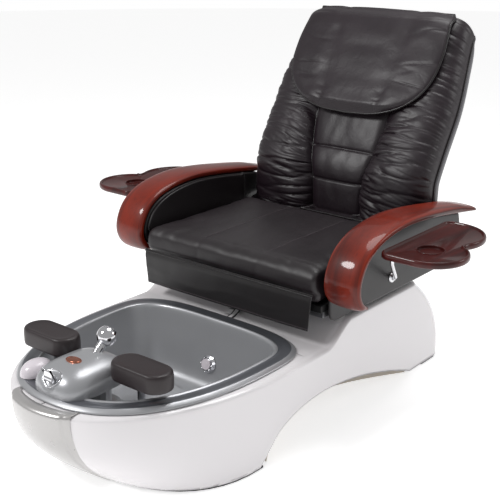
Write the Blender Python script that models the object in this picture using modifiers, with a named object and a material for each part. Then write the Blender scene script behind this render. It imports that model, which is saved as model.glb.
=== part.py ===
"""Pedicure spa chair: a foot basin in a boat-shaped base, with a sliding, reclining seat.

Metres, +Z up. The sitter faces -Y, so +X is the sitter's left hand side.
The origin is on the floor, at the middle of the base's length and width.
"""
import math

import bmesh
import bpy
from mathutils import Matrix, Vector

GAP = 0.0003                # clearance between pieces that touch

# Base: two moulded half shells on floor strips
BASE_HALF_WIDTH = 0.371
BASE_FRONT = -0.725         # tip of the bow, at deck height
BASE_REAR = 0.725           # foot of the rear wall
BOW_LENGTH = 0.565          # from the tip back to the full width
BOW_FLOOR_TIP = BASE_FRONT + 0.165          # tip of the bow, at the floor
BOW_FLOOR_LENGTH = 0.310
REAR_TOP = 0.560            # where the rear wall rolls over on to the pedestal
REAR_CORNER = 0.050
SHELL_WALL = 0.006
DECK_HEIGHT = 0.250
PEDESTAL_RISE = 0.063
PEDESTAL_HEIGHT = DECK_HEIGHT + PEDESTAL_RISE
STEP_START = 0.040          # the deck rises to the pedestal between these two places
STEP_END = 0.170
SHOULDER = 0.022            # edge radius between the walls and the deck
STRIP_HEIGHT = 0.006
STRIP_WIDTH = 0.014

# Side arches and the kick walls behind them
ARCH_FRONT = -0.228
ARCH_REAR = 0.517
ARCH_HEIGHT = 0.124
ARCH_PEAK = 0.020
KICK_DEPTH = 0.145
KICK_WALL = 0.004

# Foot basin
DECK_MARGIN = 0.029         # deck left beside the basin's rim
BASIN_HALF_WIDTH = BASE_HALF_WIDTH - DECK_MARGIN
BASIN_CENTRE = -0.180       # widest place
BOW_MARGIN = 0.040          # deck left in front of the rim
BASIN_FRONT_LENGTH = BASIN_CENTRE - BASE_FRONT - BOW_MARGIN
BASIN_REAR_LENGTH = 0.215
BASIN_WALL = 0.005
BASIN_FLOOR = 0.058
SHELF_DEPTH = 0.050
BASIN_SHELF = DECK_HEIGHT - SHELF_DEPTH     # shelf in front of the foot well
SHELF_START = -0.420
SHELF_END = -0.475
RIM_OVERLAP = 0.030         # rim resting on the deck, past the opening

# Nose panel
NOSE_HALF_WIDTH = 0.115
NOSE_WALL = 0.0035
NOSE_STANDOFF = 0.007       # from the shells to the panel's face
NOSE_FOOT = 0.004           # clear of the floor

# Console
CONSOLE_HALF_WIDTH = 0.0905
CONSOLE_FRONT = -0.672
CONSOLE_REAR = -0.440
CONSOLE_SEAT = DECK_HEIGHT + 0.0145         # height of the cover's lower edge
CONSOLE_RISE = 0.0675
CONSOLE_SQUARENESS = 0.70   # 1 is an ellipse, less is squarer
LEVER_PLACE = (0.0, -0.654)
LEVER_HEIGHT = CONSOLE_SEAT + 0.0445
LEVER_RADIUS = 0.010
LEVER_LENGTH = 0.030
SHOWER_PLACE = (0.0, -0.4985)
SHOWER_LEAN = math.radians(45)              # back from upright
SHOWER_NECK_RADIUS = 0.0125
SHOWER_HOLDER_LENGTH = 0.017
SHOWER_SINK = 0.010         # how deep the holder sits in the cover
SHOWER_HEAD_RADIUS = 0.028
LID_PLACE = (-0.1305, -0.600)

# Foot rests
POST_PLACE = (0.165, -0.500)
FOOTREST_OFFSET = (0.012, -0.006)   # middle of the pad from its post
FOOTREST_LENGTH = 0.190
FOOTREST_WIDTH = 0.092
FOOTREST_THICKNESS = 0.050
FOOTREST_BOTTOM = DECK_HEIGHT + 0.045
POST_RADIUS = 0.011

# Water jet and drain
JET_RISE = 0.43             # share of the way up the well's wall
JET_HEIGHT = BASIN_FLOOR + JET_RISE * (DECK_HEIGHT - 0.0245 - BASIN_FLOOR)
JET_RADIUS = 0.028
JET_INSET = 0.0945          # from the rim's rear edge to the ring's back
JET_TILT = math.radians(16)
DRAIN_PLACE = (0.0, -0.290)

# Seat
SEAT_HALF_WIDTH = 0.345
SEAT_FRONT = 0.006
SEAT_REAR = 0.550
SKIRT_THICKNESS = 0.008
RAIL_PLACE = 0.160
RAIL_START = 0.175
RAIL_LENGTH = 0.370
RAIL_HEIGHT = 0.020
RAIL_WIDTH = 0.030
FRAME_THICKNESS = 0.0179
PAN_THICKNESS = 0.0199
CUSHION_THICKNESS = 0.118
RAIL_BOTTOM = PEDESTAL_HEIGHT + GAP
FRAME_BOTTOM = RAIL_BOTTOM + RAIL_HEIGHT + GAP
PAN_BOTTOM = FRAME_BOTTOM + FRAME_THICKNESS + GAP
CUSHION_BOTTOM = PAN_BOTTOM + PAN_THICKNESS + GAP
SKIRT_BOTTOM = PEDESTAL_HEIGHT - 0.011
SIDE_INNER = SEAT_HALF_WIDTH + 0.003        # side panels, from here ...
SIDE_OUTER = SIDE_INNER + 0.011             # ... to here
SIDE_FRONT = SEAT_FRONT + 0.054
SIDE_BOTTOM = PEDESTAL_HEIGHT + 0.0025
SIDE_REAR = 0.540

# Arms
ARM_INNER = SIDE_OUTER + 0.001
ARM_WIDTH = 0.120
ARM_OUTER = ARM_INNER + ARM_WIDTH
ARM_THICKNESS = 0.024
ARM_CORE_OUTER = ARM_OUTER - 0.025
ARM_CORE_BOTTOM = CUSHION_BOTTOM + 0.013

# Side trays
TRAY_BOTTOM = CUSHION_BOTTOM + 0.163
TRAY_THICKNESS = 0.020
TRAY_RECESS = 0.006
TRAY_FLOOR = 0.004          # under the cup recess
TRAY_PIVOT = (ARM_OUTER + 0.035, 0.130)
TRAY_RIM = 0.009
CUP_RADIUS = 0.038
CUP_PLACE = (TRAY_PIVOT[0] + 0.065, 0.225)
TUBE_RADIUS = 0.006

# Back rest
HINGE = (0.605, CUSHION_BOTTOM + 0.053)     # recline axis, as (Y, Z)
ARM_CLEARANCE = 0.006       # between the arm panels and the back rest
PAD_HALF_WIDTH = SIDE_OUTER - ARM_CLEARANCE - 0.003
PAD_TOP_HALF_WIDTH = 0.318
PAD_THICKNESS = 0.085
BACK_SHELL_HALF_WIDTH = SIDE_OUTER - ARM_CLEARANCE
BACK_SHELL_WALL = 0.004
BACK_SHELL_REAR = 0.178     # depth of the rear face behind the pad's face
FLAP_THICKNESS = 0.022
FLAP_HALF_WIDTH = 0.285
PIN_RADIUS = 0.011
PIN_CLEARANCE = 0.0001      # radial, in its brackets

# Mains inlet, through the rear wall of the left shell: its lowest and highest corners
INLET_BOX = ((0.060, BASE_REAR - 0.028, 0.040), (0.110, BASE_REAR + 0.001, 0.075))

# Leather, wood, plastics and metals: colour, roughness, metallic
WHITE_GELCOAT = ((0.80, 0.79, 0.81), 0.18, 0.0)
SILVER_ACRYLIC = ((0.32, 0.34, 0.37), 0.28, 0.6)
BLACK_LEATHER = ((0.022, 0.016, 0.020), 0.42, 0.0)
CHERRY_WOOD = ((0.24, 0.035, 0.016), 0.16, 0.0)
CHROME = ((0.80, 0.80, 0.82), 0.08, 1.0)
STEEL = ((0.34, 0.34, 0.35), 0.40, 1.0)
GREY_PLASTIC = ((0.050, 0.048, 0.055), 0.35, 0.0)
PALE_PLASTIC = ((0.66, 0.64, 0.68), 0.30, 0.0)
BLACK_PLASTIC = ((0.02, 0.02, 0.02), 0.50, 0.0)
BEIGE_GELCOAT = ((0.55, 0.50, 0.43), 0.40, 0.0)
COPPER = ((0.45, 0.22, 0.16), 0.25, 1.0)

SIDES = (("left", 1), ("right", -1))


# ---------------------------------------------------------------- shared tools

def clear_scene():
    for item in list(bpy.data.objects):
        bpy.data.objects.remove(item, do_unlink=True)


def new_collection(name):
    group = bpy.data.collections.new(name)
    bpy.context.scene.collection.children.link(group)
    return group


clear_scene()
PARTS = new_collection("pedicure_spa_chair")
CUTTERS = new_collection("cutters")


def finish_piece(piece, name, finish):
    """Name a piece, give it its own material and put it in the parts collection."""
    colour, roughness, metallic = finish
    piece.name = name
    piece.data.name = name
    material = bpy.data.materials.new(name)
    material.use_nodes = True
    shader = material.node_tree.nodes["Principled BSDF"]
    shader.inputs["Base Color"].default_value = (*colour, 1.0)
    shader.inputs["Roughness"].default_value = roughness
    shader.inputs["Metallic"].default_value = metallic
    piece.data.materials.clear()
    piece.data.materials.append(material)
    for group in list(piece.users_collection):
        group.objects.unlink(piece)
    PARTS.objects.link(piece)
    return piece


def mesh_piece(name, mesh_editor, finish, smooth=40):
    """Make a named piece from a bmesh, with its faces turned outwards."""
    bmesh.ops.recalc_face_normals(mesh_editor, faces=mesh_editor.faces)
    mesh = bpy.data.meshes.new(name)
    mesh_editor.to_mesh(mesh)
    mesh_editor.free()
    mesh.shade_smooth()
    mesh.set_sharp_from_angle(angle=math.radians(smooth))
    piece = bpy.data.objects.new(name, mesh)
    PARTS.objects.link(piece)
    return finish_piece(piece, name, finish)


def add_bevel(piece, width, segments=2):
    bevel = piece.modifiers.new("bevel", "BEVEL")
    bevel.width = width
    bevel.segments = segments
    bevel.limit_method = "ANGLE"
    bevel.angle_limit = math.radians(35)
    return piece


def box(name, low, high, finish, bevel=0.0, segments=2):
    """A block between two corners."""
    low, high = Vector(low), Vector(high)
    edit = bmesh.new()
    place = Matrix.Translation((low + high) / 2) @ Matrix.Diagonal((*(high - low), 1.0))
    bmesh.ops.create_cube(edit, size=1.0, matrix=place)
    piece = mesh_piece(name, edit, finish)
    if bevel:
        add_bevel(piece, bevel, segments)
    return piece


def rod(name, start, end, radius, finish, sides=24, end_radius=None):
    """A straight round bar between two points."""
    start, end = Vector(start), Vector(end)
    turn = (end - start).to_track_quat("Z", "Y").to_matrix().to_4x4()
    edit = bmesh.new()
    bmesh.ops.create_cone(edit, cap_ends=True, segments=sides, radius1=radius,
                          radius2=radius if end_radius is None else end_radius,
                          depth=(end - start).length,
                          matrix=Matrix.Translation((start + end) / 2) @ turn)
    return mesh_piece(name, edit, finish)


def turned(name, profile, place, finish, axis="Z", steps=28):
    """A turned solid: (radius, height) pairs from its top centre down to its bottom centre."""
    edit = bmesh.new()
    corners = [edit.verts.new((radius, 0.0, height)) for radius, height in profile]
    for upper, lower in zip(corners, corners[1:]):
        edit.edges.new((upper, lower))
    mesh = bpy.data.meshes.new(name)
    edit.to_mesh(mesh)
    edit.free()
    piece = bpy.data.objects.new(name, mesh)
    PARTS.objects.link(piece)
    screw = piece.modifiers.new("turn", "SCREW")
    screw.axis = axis
    screw.steps = steps
    screw.render_steps = steps
    screw.use_merge_vertices = True
    screw.merge_threshold = 0.0001
    screw.use_smooth_shade = True
    piece.location = place
    return finish_piece(piece, name, finish)


def bent_tube(name, points, radius, finish, resolution=2):
    """A round tube or wire along a list of points."""
    curve = bpy.data.curves.new(name, "CURVE")
    curve.dimensions = "3D"
    curve.bevel_depth = radius
    curve.bevel_resolution = resolution
    curve.use_fill_caps = True
    spline = curve.splines.new("POLY")
    spline.points.add(len(points) - 1)
    for point, place in zip(spline.points, points):
        point.co = (*place, 1.0)
    piece = bpy.data.objects.new(name, curve)
    PARTS.objects.link(piece)
    return finish_piece(piece, name, finish)


def plate(name, outline, low, high, finish, axis="Z", bevel=0.0, segments=2):
    """A flat outline, extruded between two heights along Z, or along X for a (Y, Z) outline."""
    edit = bmesh.new()
    if axis == "Z":
        corners = [(a, b, low) for a, b in outline]
        move = (0, 0, high - low)
    else:
        corners = [(low, a, b) for a, b in outline]
        move = (high - low, 0, 0)
    face = edit.faces.new([edit.verts.new(corner) for corner in corners])
    copy = bmesh.ops.extrude_face_region(edit, geom=[face])
    moved = [item for item in copy["geom"] if isinstance(item, bmesh.types.BMVert)]
    bmesh.ops.translate(edit, vec=move, verts=moved)
    piece = mesh_piece(name, edit, finish)
    if bevel:
        add_bevel(piece, bevel, segments)
    return piece


def loft(name, rings, finish, closed=True, capped=True, smooth=40):
    """Skin over a row of rings of points. An open skin gets its thickness from Solidify."""
    edit = bmesh.new()
    rows = [[edit.verts.new(point) for point in ring] for ring in rings]
    for lower, upper in zip(rows, rows[1:]):
        count = len(lower) if closed else len(lower) - 1
        for i in range(count):
            j = (i + 1) % len(lower)
            edit.faces.new((lower[i], lower[j], upper[j], upper[i]))
    if capped:
        edit.faces.new(rows[0])
        edit.faces.new(rows[-1])
    return mesh_piece(name, edit, finish, smooth)


def add_wall(piece, thickness, outward=False):
    """Give an open skin its wall, on the side away from its faces or towards them."""
    wall = piece.modifiers.new("wall", "SOLIDIFY")
    wall.thickness = thickness
    wall.offset = 1.0 if outward else -1.0
    wall.use_even_offset = True
    wall.use_quality_normals = True
    return piece


def make_cutter(piece):
    piece.hide_render = True
    piece.display_type = "WIRE"
    for group in list(piece.users_collection):
        group.objects.unlink(piece)
    CUTTERS.objects.link(piece)
    return piece


def cut(piece, cutter):
    hole = piece.modifiers.new("cut", "BOOLEAN")
    hole.operation = "DIFFERENCE"
    hole.object = cutter
    return piece


def arc(centre, radius, start, end, steps):
    """Points on an arc, with its angles in degrees."""
    points = []
    for i in range(steps + 1):
        angle = math.radians(start + (end - start) * i / steps)
        points.append((centre[0] + radius * math.cos(angle), centre[1] + radius * math.sin(angle)))
    return points


def smooth_step(value, start, end):
    """0 before start, 1 after end, and an S between them."""
    t = min(max((value - start) / (end - start), 0.0), 1.0)
    return t * t * (3 - 2 * t)


def curve_through(points, count):
    """Points at even steps on a smooth curve through the given (a, b) points."""
    dense = []
    padded = [points[0], *points, points[-1]]
    for p0, p1, p2, p3 in zip(padded, padded[1:], padded[2:], padded[3:]):
        for k in range(16):
            t = k / 16
            dense.append(tuple(0.5 * (2 * b + (c - a) * t + (2 * a - 5 * b + 4 * c - d) * t * t
                                      + (3 * b - a - 3 * c + d) * t ** 3)
                               for a, b, c, d in zip(p0, p1, p2, p3)))
    dense.append(points[-1])
    lengths = [0.0]
    for a, b in zip(dense, dense[1:]):
        lengths.append(lengths[-1] + math.dist(a, b))
    result = []
    j = 0
    for i in range(count):
        want = lengths[-1] * i / (count - 1)
        while j < len(dense) - 2 and lengths[j + 1] < want:
            j += 1
        part = (want - lengths[j]) / max(lengths[j + 1] - lengths[j], 1e-9)
        result.append(tuple(a + (b - a) * part for a, b in zip(dense[j], dense[j + 1])))
    return result


# ---------------------------------------------------------------- base

def super_arc(angle, half_width, length, power):
    """A point on a quarter of a superellipse, as (x, distance forward)."""
    x = half_width * abs(math.cos(angle)) ** (2 / power)
    return x, length * abs(math.sin(angle)) ** (2 / power)


def side_places():
    """Places along the straight side, close together where the deck steps up."""
    places = []
    stretches = ((BASE_FRONT + BOW_LENGTH, STEP_START, 4), (STEP_START, STEP_END, 8),
                 (STEP_END, REAR_TOP - REAR_CORNER, 6))
    for start, end, steps in stretches:
        places += [start + (end - start) * i / steps for i in range(1, steps + 1)]
    return places


def base_stations():
    """Pairs of plan points (floor, shoulder) from the bow to the middle of the rear wall."""
    stations = []
    for i in range(13):
        angle = math.radians(90 - 7.5 * i)
        x, reach = super_arc(angle, BASE_HALF_WIDTH, BOW_LENGTH, 2.0)
        top = (x, BASE_FRONT + BOW_LENGTH - reach)
        x, reach = super_arc(angle, BASE_HALF_WIDTH, BOW_FLOOR_LENGTH, 2.4)
        stations.append(((x, BOW_FLOOR_TIP + BOW_FLOOR_LENGTH - reach), top, 0.0))
    bow_lead = stations[-1][0][1] - stations[-1][1][1]
    rear_lean = BASE_REAR - REAR_TOP
    for y in side_places():
        rear = smooth_step(y, 0.250, REAR_TOP - REAR_CORNER)
        lead = bow_lead * (1 - smooth_step(y, BASE_FRONT + BOW_LENGTH, STEP_START))
        stations.append(((BASE_HALF_WIDTH, y + lead + rear_lean * rear), (BASE_HALF_WIDTH, y), rear))
    side_end = BASE_REAR - REAR_CORNER
    for i in range(1, 4):
        angle = math.radians(30 * i)
        x = BASE_HALF_WIDTH - REAR_CORNER * (1 - math.cos(angle))
        reach = REAR_CORNER * math.sin(angle)
        stations.append(((x, side_end + reach), (x, REAR_TOP - REAR_CORNER + reach), 1.0))
    x = BASE_HALF_WIDTH - REAR_CORNER
    for share in (0.5, 0.0):
        stations.append(((x * share, BASE_REAR), (x * share, REAR_TOP), 1.0))
    return stations


def outward(points):
    """Unit vectors square to a plan outline that runs from the bow round to the rear."""
    vectors = [Vector((0, -1, 0))]
    for before, after in zip(points, points[2:]):
        vectors.append(Vector((after[1] - before[1], before[0] - after[0], 0)).normalized())
    return vectors + [Vector((0, 1, 0))]


def deck_height(y):
    return DECK_HEIGHT + (PEDESTAL_HEIGHT - DECK_HEIGHT) * smooth_step(y, STEP_START, STEP_END)


def wall_rows(levels=7):
    """Rows of points up the base wall, one row for each level."""
    rows = []
    for k in range(levels):
        t = k / (levels - 1)
        row = []
        for (fx, fy), (tx, ty), rear in base_stations():
            share = (1 - (1 - t) ** 2.2) * (1 - rear) + t ** 2.6 * rear
            height = deck_height(ty) - SHOULDER * 0.45
            z = height * t
            row.append((fx + (tx - fx) * share, fy + (ty - fy) * share, z))
        rows.append(row)
    return rows


def base_half(name, sign):
    """One half of the moulded base: its wall, shoulder and deck, open below and at the middle."""
    rows = wall_rows()
    shoulder = []
    for inset, drop in ((0.30, 0.16), (1.0, 0.0)):
        shoulder.append([(max(x - away.x * SHOULDER * inset, 0.0), y - away.y * SHOULDER * inset,
                          deck_height(y) - SHOULDER * drop)
                         for (x, y, _), away in zip(rows[-1], outward(rows[-1]))])
    rows = [[(x if x > 0.0 else -0.010, y, z) for x, y, z in row] for row in rows + shoulder]
    rows.append([(-0.010, y, z) for _, y, z in rows[-1]])
    rows = [[(sign * x, y, z) for x, y, z in row] for row in rows]
    piece = loft(name, rows, WHITE_GELCOAT, closed=False, capped=False, smooth=50)
    weld_mesh(piece.data)
    return add_wall(piece, SHELL_WALL)


def weld_mesh(mesh):
    """Merge the points that meet at the bow and the rear, and turn the faces outwards."""
    edit = bmesh.new()
    edit.from_mesh(mesh)
    bmesh.ops.remove_doubles(edit, verts=edit.verts, dist=0.00005)
    bmesh.ops.dissolve_degenerate(edit, edges=edit.edges, dist=0.00005)
    bmesh.ops.recalc_face_normals(edit, faces=edit.faces)
    upward = sum(face.normal.z * face.calc_area() for face in edit.faces)
    if upward < 0:
        bmesh.ops.reverse_faces(edit, faces=edit.faces)
    edit.to_mesh(mesh)
    edit.free()


def egg(angle, inset=0.0):
    """The basin's plan outline, pulled in by inset. Angle 0 is +X, 90 degrees is forward."""
    forward = math.sin(angle) > 0
    length = BASIN_FRONT_LENGTH if forward else BASIN_REAR_LENGTH
    power = 2.3 if forward else 3.6
    x, reach = super_arc(angle, BASIN_HALF_WIDTH - inset, length - inset, power)
    x = math.copysign(x, math.cos(angle))
    return x, BASIN_CENTRE - math.copysign(reach, math.sin(angle))


def egg_outline(inset, steps=56):
    return [egg(2 * math.pi * (i + 0.5) / steps, inset) for i in range(steps)]


def arch_outline():
    """Side view of the arch: steep in front, long behind, from below the floor upwards."""
    points = [(ARCH_FRONT, -0.02), (ARCH_FRONT, STRIP_HEIGHT)]
    for i in range(1, 9):
        angle = math.radians(90 * i / 8)
        points.append((ARCH_PEAK - (ARCH_PEAK - ARCH_FRONT) * math.cos(angle),
                       STRIP_HEIGHT + (ARCH_HEIGHT - STRIP_HEIGHT) * math.sin(angle) ** 0.9))
    for i in range(1, 8):
        t = i / 7
        points.append((ARCH_PEAK + (ARCH_REAR - ARCH_PEAK) * t,
                       STRIP_HEIGHT + (ARCH_HEIGHT - STRIP_HEIGHT) * (1 - t ** 1.7)))
    points.append((ARCH_REAR, -0.02))
    return points


def floor_strip(name, first, last):
    """A black strip that the shells stand on, along the floor outline between two stations."""
    stations = base_stations()[first:last + 1]
    outline = [floor for floor, _, _ in stations]
    if last - first > 14 or outline[0][0] < 0.001:
        outline = [(-x, y) for x, y in reversed(outline[1:])] + outline
    else:
        outline = outline + [(-x, y) for x, y in reversed(outline[:-1])]
    rings = []
    for i, (x, y) in enumerate(outline):
        before, after = outline[max(i - 1, 0)], outline[min(i + 1, len(outline) - 1)]
        run = Vector((after[0] - before[0], after[1] - before[1], 0)).normalized()
        side = Vector((run.y, -run.x, 0))
        centre = Vector((x, y, 0))
        if side.dot(Vector((-x, 0.1 - y, 0))) < 0:
            side = -side
        outer, inner = centre + side * 0.002, centre + side * (0.002 + STRIP_WIDTH)
        up = Vector((0, 0, STRIP_HEIGHT))
        rings.append([outer, inner, inner + up, outer + up])
    return loft(name, rings, BLACK_PLASTIC)


def kick_wall(name, sign):
    """The curved wall set back behind an arch."""
    inside = BASE_HALF_WIDTH - SHELL_WALL - 0.010
    span = ARCH_REAR - ARCH_FRONT - 0.012
    low, high = [], []
    for i in range(17):
        t = i / 16
        x = inside - KICK_DEPTH * math.sin(math.pi * t)
        y = ARCH_FRONT + 0.006 + span * t
        low.append((sign * x, y, GAP))
        high.append((sign * x, y, ARCH_HEIGHT + 0.008))
    piece = loft(name, [low, high], BEIGE_GELCOAT, closed=False, capped=False)
    wall = add_wall(piece, KICK_WALL)
    wall.modifiers["wall"].offset = 0.0
    return piece


def base():
    opening = plate("basin_opening", egg_outline(RIM_OVERLAP), DECK_HEIGHT - 0.07, DECK_HEIGHT + 0.09,
                    BLACK_PLASTIC)
    make_cutter(opening)
    arch = plate("arch", arch_outline(), -0.5, 0.5, BLACK_PLASTIC, axis="X")
    make_cutter(arch)
    below = make_cutter(box("below_shell", (-1, -1, -0.1), (1, 1, STRIP_HEIGHT + GAP), BLACK_PLASTIC))
    for side, sign in SIDES:
        shell = base_half(f"base_shell_{side}", sign)
        cut(shell, below)
        low, high = sorted((-sign * 0.1, sign * GAP / 2))
        other_half = box(f"other_half_{side}", (low, -1.0, -0.1), (high, 1.0, 0.5), BLACK_PLASTIC)
        cut(shell, make_cutter(other_half))
        cut(shell, opening)
        cut(shell, arch)
        if side == "left":
            low, high = (Vector(corner) for corner in INLET_BOX)
            around = Vector((GAP, GAP, GAP))
            hole = box("inlet_hole", low - around, high + around, BLACK_PLASTIC)
            cut(shell, make_cutter(hole))
        kick_wall(f"kick_wall_{side}", sign)


def nose_panel():
    """The silver splash guard that wraps the bow and turns in to the basin's rim."""
    rows = []
    for k in range(7):
        t = k / 6
        row = []
        for i in range(9):
            x = NOSE_HALF_WIDTH * (i / 4 - 1)
            grow = GAP + NOSE_STANDOFF
            top = BASE_FRONT + BOW_LENGTH - (BOW_LENGTH + grow) * math.sqrt(
                1 - (x / (BASE_HALF_WIDTH + grow)) ** 2)
            foot = BOW_FLOOR_TIP + BOW_FLOOR_LENGTH - (BOW_FLOOR_LENGTH + grow) * (
                1 - abs(x / (BASE_HALF_WIDTH + grow)) ** 2.4) ** (1 / 2.4)
            share = 1 - (1 - t) ** 2.2
            z = NOSE_FOOT + (DECK_HEIGHT - NOSE_FOOT - 0.005) * t
            row.append((x, foot + (top - foot) * share, z))
        rows.append(row)
    rim = DECK_HEIGHT + GAP + 0.004
    for reach, height in ((0.006, rim - 0.002), (0.014, rim), (0.034, rim)):
        row = []
        for x, y, _ in rows[6]:
            edge = BASIN_CENTRE - BASIN_FRONT_LENGTH * (
                1 - abs(x / BASIN_HALF_WIDTH) ** 2.3) ** (1 / 2.3)
            row.append((x, min(y + reach, edge - 0.0015), height))
        rows.append(row)
    piece = loft("nose_panel", rows, SILVER_ACRYLIC, closed=False, capped=False)
    weld_mesh(piece.data)
    return add_wall(piece, NOSE_WALL)


# ---------------------------------------------------------------- basin

def shelf_height(y):
    return BASIN_FLOOR + (BASIN_SHELF - BASIN_FLOOR) * (1 - smooth_step(y, SHELF_END, SHELF_START))


def basin():
    """Rim flange and tub in one skin: a foot well behind a shallow shelf."""
    deck = DECK_HEIGHT + GAP + BASIN_WALL
    profile = [(0.000, deck), (0.006, deck + 0.007), (0.014, deck + 0.008), (0.020, deck + 0.003),
               (0.050, deck - 0.001), (0.058, deck - 0.008), (0.066, deck - 0.030)]
    rows = [[(*egg(2 * math.pi * (i + 0.5) / 56, inset), height) for i in range(56)]
            for inset, height in profile]
    lip = profile[-1][1]
    for inset, share in ((0.069, 0.40), (0.073, 0.72), (0.078, 0.94), (0.085, 1.0), (0.130, 1.0)):
        row = []
        for i in range(56):
            angle = 2 * math.pi * (i + 0.5) / 56
            y = egg(angle, inset)[1]
            slope = 0.035 * share * smooth_step(y, SHELF_END, SHELF_START)
            x, y = egg(angle, inset + slope)
            floor = min(shelf_height(y), lip - 0.004)
            row.append((x, y, lip + (floor - lip) * share))
        rows.append(row)
    for scale in (0.72, 0.42, 0.14):
        row = []
        for x, y, _ in rows[11]:
            place = BASIN_CENTRE + (y - BASIN_CENTRE) * scale
            row.append((x * scale, place, shelf_height(place)))
        rows.append(row)
    edit = bmesh.new()
    grid = [[edit.verts.new(point) for point in row] for row in rows]
    for outer, inner in zip(grid, grid[1:]):
        for i in range(56):
            j = (i + 1) % 56
            edit.faces.new((outer[i], outer[j], inner[j], inner[i]))
    edit.faces.new(grid[-1])
    piece = mesh_piece("basin", edit, SILVER_ACRYLIC)
    weld_mesh(piece.data)
    return add_wall(piece, BASIN_WALL)


def jet():
    """Water jet on the rear wall of the foot well: ring, grille and the pump behind it."""
    wall = Vector((0, BASIN_CENTRE + BASIN_REAR_LENGTH - JET_INSET, JET_HEIGHT))
    out = Vector((0, -math.cos(JET_TILT), math.sin(JET_TILT)))
    rod("jet_ring", wall, wall + out * 0.009, JET_RADIUS, CHROME, sides=28, end_radius=JET_RADIUS * 0.8)
    rod("jet_grille", wall + out * (0.009 + GAP), wall + out * 0.013, JET_RADIUS * 0.6, PALE_PLASTIC,
        sides=24)
    back = BASIN_CENTRE + BASIN_REAR_LENGTH - 0.030
    rod("jet_pump", (0, back, JET_HEIGHT), (0, back + 0.110, JET_HEIGHT), 0.042, GREY_PLASTIC, sides=24)


def drain():
    x, y = DRAIN_PLACE
    top = BASIN_FLOOR
    turned("drain_strainer", [(0.0, 0.003), (0.026, 0.003), (0.030, GAP), (0.0, GAP)], (x, y, top), CHROME)
    turned("drain_plug", [(0.0, 0.009), (0.012, 0.009), (0.016, 0.006), (0.016, 0.003 + GAP),
                          (0.0, 0.003 + GAP)], (x, y, top), CHROME)
    low = BASIN_FLOOR - BASIN_WALL - GAP
    bent_tube("drain_pipe", [(x, y, low), (x, y, 0.034), (x, y + 0.006, 0.026), (x, y + 0.014, 0.023),
                             (x, y + 0.26, 0.023)], 0.015, GREY_PLASTIC)


# ---------------------------------------------------------------- console

def console():
    """The domed cover over the taps, on its moulded foot."""
    foot = []
    for i in range(20):
        angle = 2 * math.pi * (i + 0.5) / 20
        foot.append((0.070 * math.cos(angle), -0.530 - 0.043 * math.sin(angle)))
    plate("console_foot", foot, BASIN_SHELF + GAP, CONSOLE_SEAT - GAP, SILVER_ACRYLIC)
    middle = (CONSOLE_FRONT + CONSOLE_REAR) / 2
    half = (CONSOLE_REAR - CONSOLE_FRONT) / 2
    rings = []
    for k in range(7):
        lift = math.radians(90 * k / 6.6)
        ring = []
        for i in range(28):
            angle = 2 * math.pi * i / 28
            across, forward = math.cos(angle), math.sin(angle)
            x = CONSOLE_HALF_WIDTH * math.copysign(abs(across) ** CONSOLE_SQUARENESS, across)
            y = half * math.copysign(abs(forward) ** CONSOLE_SQUARENESS, forward)
            spread = math.cos(lift)
            ring.append((x * spread, middle + y * spread, CONSOLE_SEAT + CONSOLE_RISE * math.sin(lift)))
        rings.append(ring)
    cover = loft("console_cover", rings, SILVER_ACRYLIC, smooth=60)
    x, y = LEVER_PLACE
    pocket = rod("lever_pocket", (x, y - 0.02, LEVER_HEIGHT + 0.036), (x, y + 0.012, LEVER_HEIGHT - 0.021),
                 0.020, CHROME)
    make_cutter(pocket)
    cut(cover, pocket)
    foot, along = shower_place()
    socket = rod("shower_socket", foot - along * SHOWER_SINK, foot + along * 0.05,
                 SHOWER_NECK_RADIUS + GAP, CHROME, sides=28)
    cut(cover, make_cutter(socket))
    badge_top = console_height(0.0, -0.580)
    seat = plate("badge_seat", [(0.026 * math.cos(a), -0.580 + 0.017 * math.sin(a))
                                for a in [math.radians(15 * i) for i in range(24)]],
                 badge_top - 0.004, badge_top + 0.03, CHROME)
    cut(cover, make_cutter(seat))
    plate("badge_plate", [(0.0255 * math.cos(a), -0.580 + 0.0165 * math.sin(a))
                          for a in [math.radians(15 * i) for i in range(24)]],
          badge_top - 0.004 + GAP, badge_top + 0.0025, COPPER)


def console_height(x, y):
    """Height of the console cover's surface over a plan point."""
    middle = (CONSOLE_FRONT + CONSOLE_REAR) / 2
    half = (CONSOLE_REAR - CONSOLE_FRONT) / 2
    power = 2 / CONSOLE_SQUARENESS
    spread = (abs(x / CONSOLE_HALF_WIDTH) ** power + abs((y - middle) / half) ** power) ** (1 / power)
    lift = math.acos(min(spread, 1.0))
    return CONSOLE_SEAT + CONSOLE_RISE * math.sin(lift)


def console_lid():
    """The pale rounded cover beside the console, over the supply valves."""
    x, y = LID_PLACE
    rings = []
    for k in range(5):
        lift = math.radians(90 * k / 4.5)
        ring = [(x + 0.037 * math.cos(a) * math.cos(lift), y + 0.050 * math.sin(a) * math.cos(lift),
                 CONSOLE_SEAT + 0.036 * math.sin(lift))
                for a in [math.radians(18 * i) for i in range(20)]]
        rings.append(ring)
    loft("console_lid", rings, PALE_PLASTIC, smooth=60)


def mixer():
    """Tap lever: a round barrel in the cover's pocket, with a tapered paddle that points up."""
    x, y = LEVER_PLACE
    centre = Vector((y - 0.006, LEVER_HEIGHT))
    lean, root = 112, 26
    along = Vector((math.cos(math.radians(lean)), math.sin(math.radians(lean))))
    across = Vector((-along.y, along.x))
    outline = arc(centre, LEVER_RADIUS, lean + root, lean - root + 360, 16)
    for share in (-1, 0, 1):
        outline.append(tuple(centre + along * (LEVER_LENGTH - 0.001 * abs(share)) + across * 0.0018 * share))
    plate("mixer_lever", outline, x - 0.016, x + 0.016, CHROME, axis="X")


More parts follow.
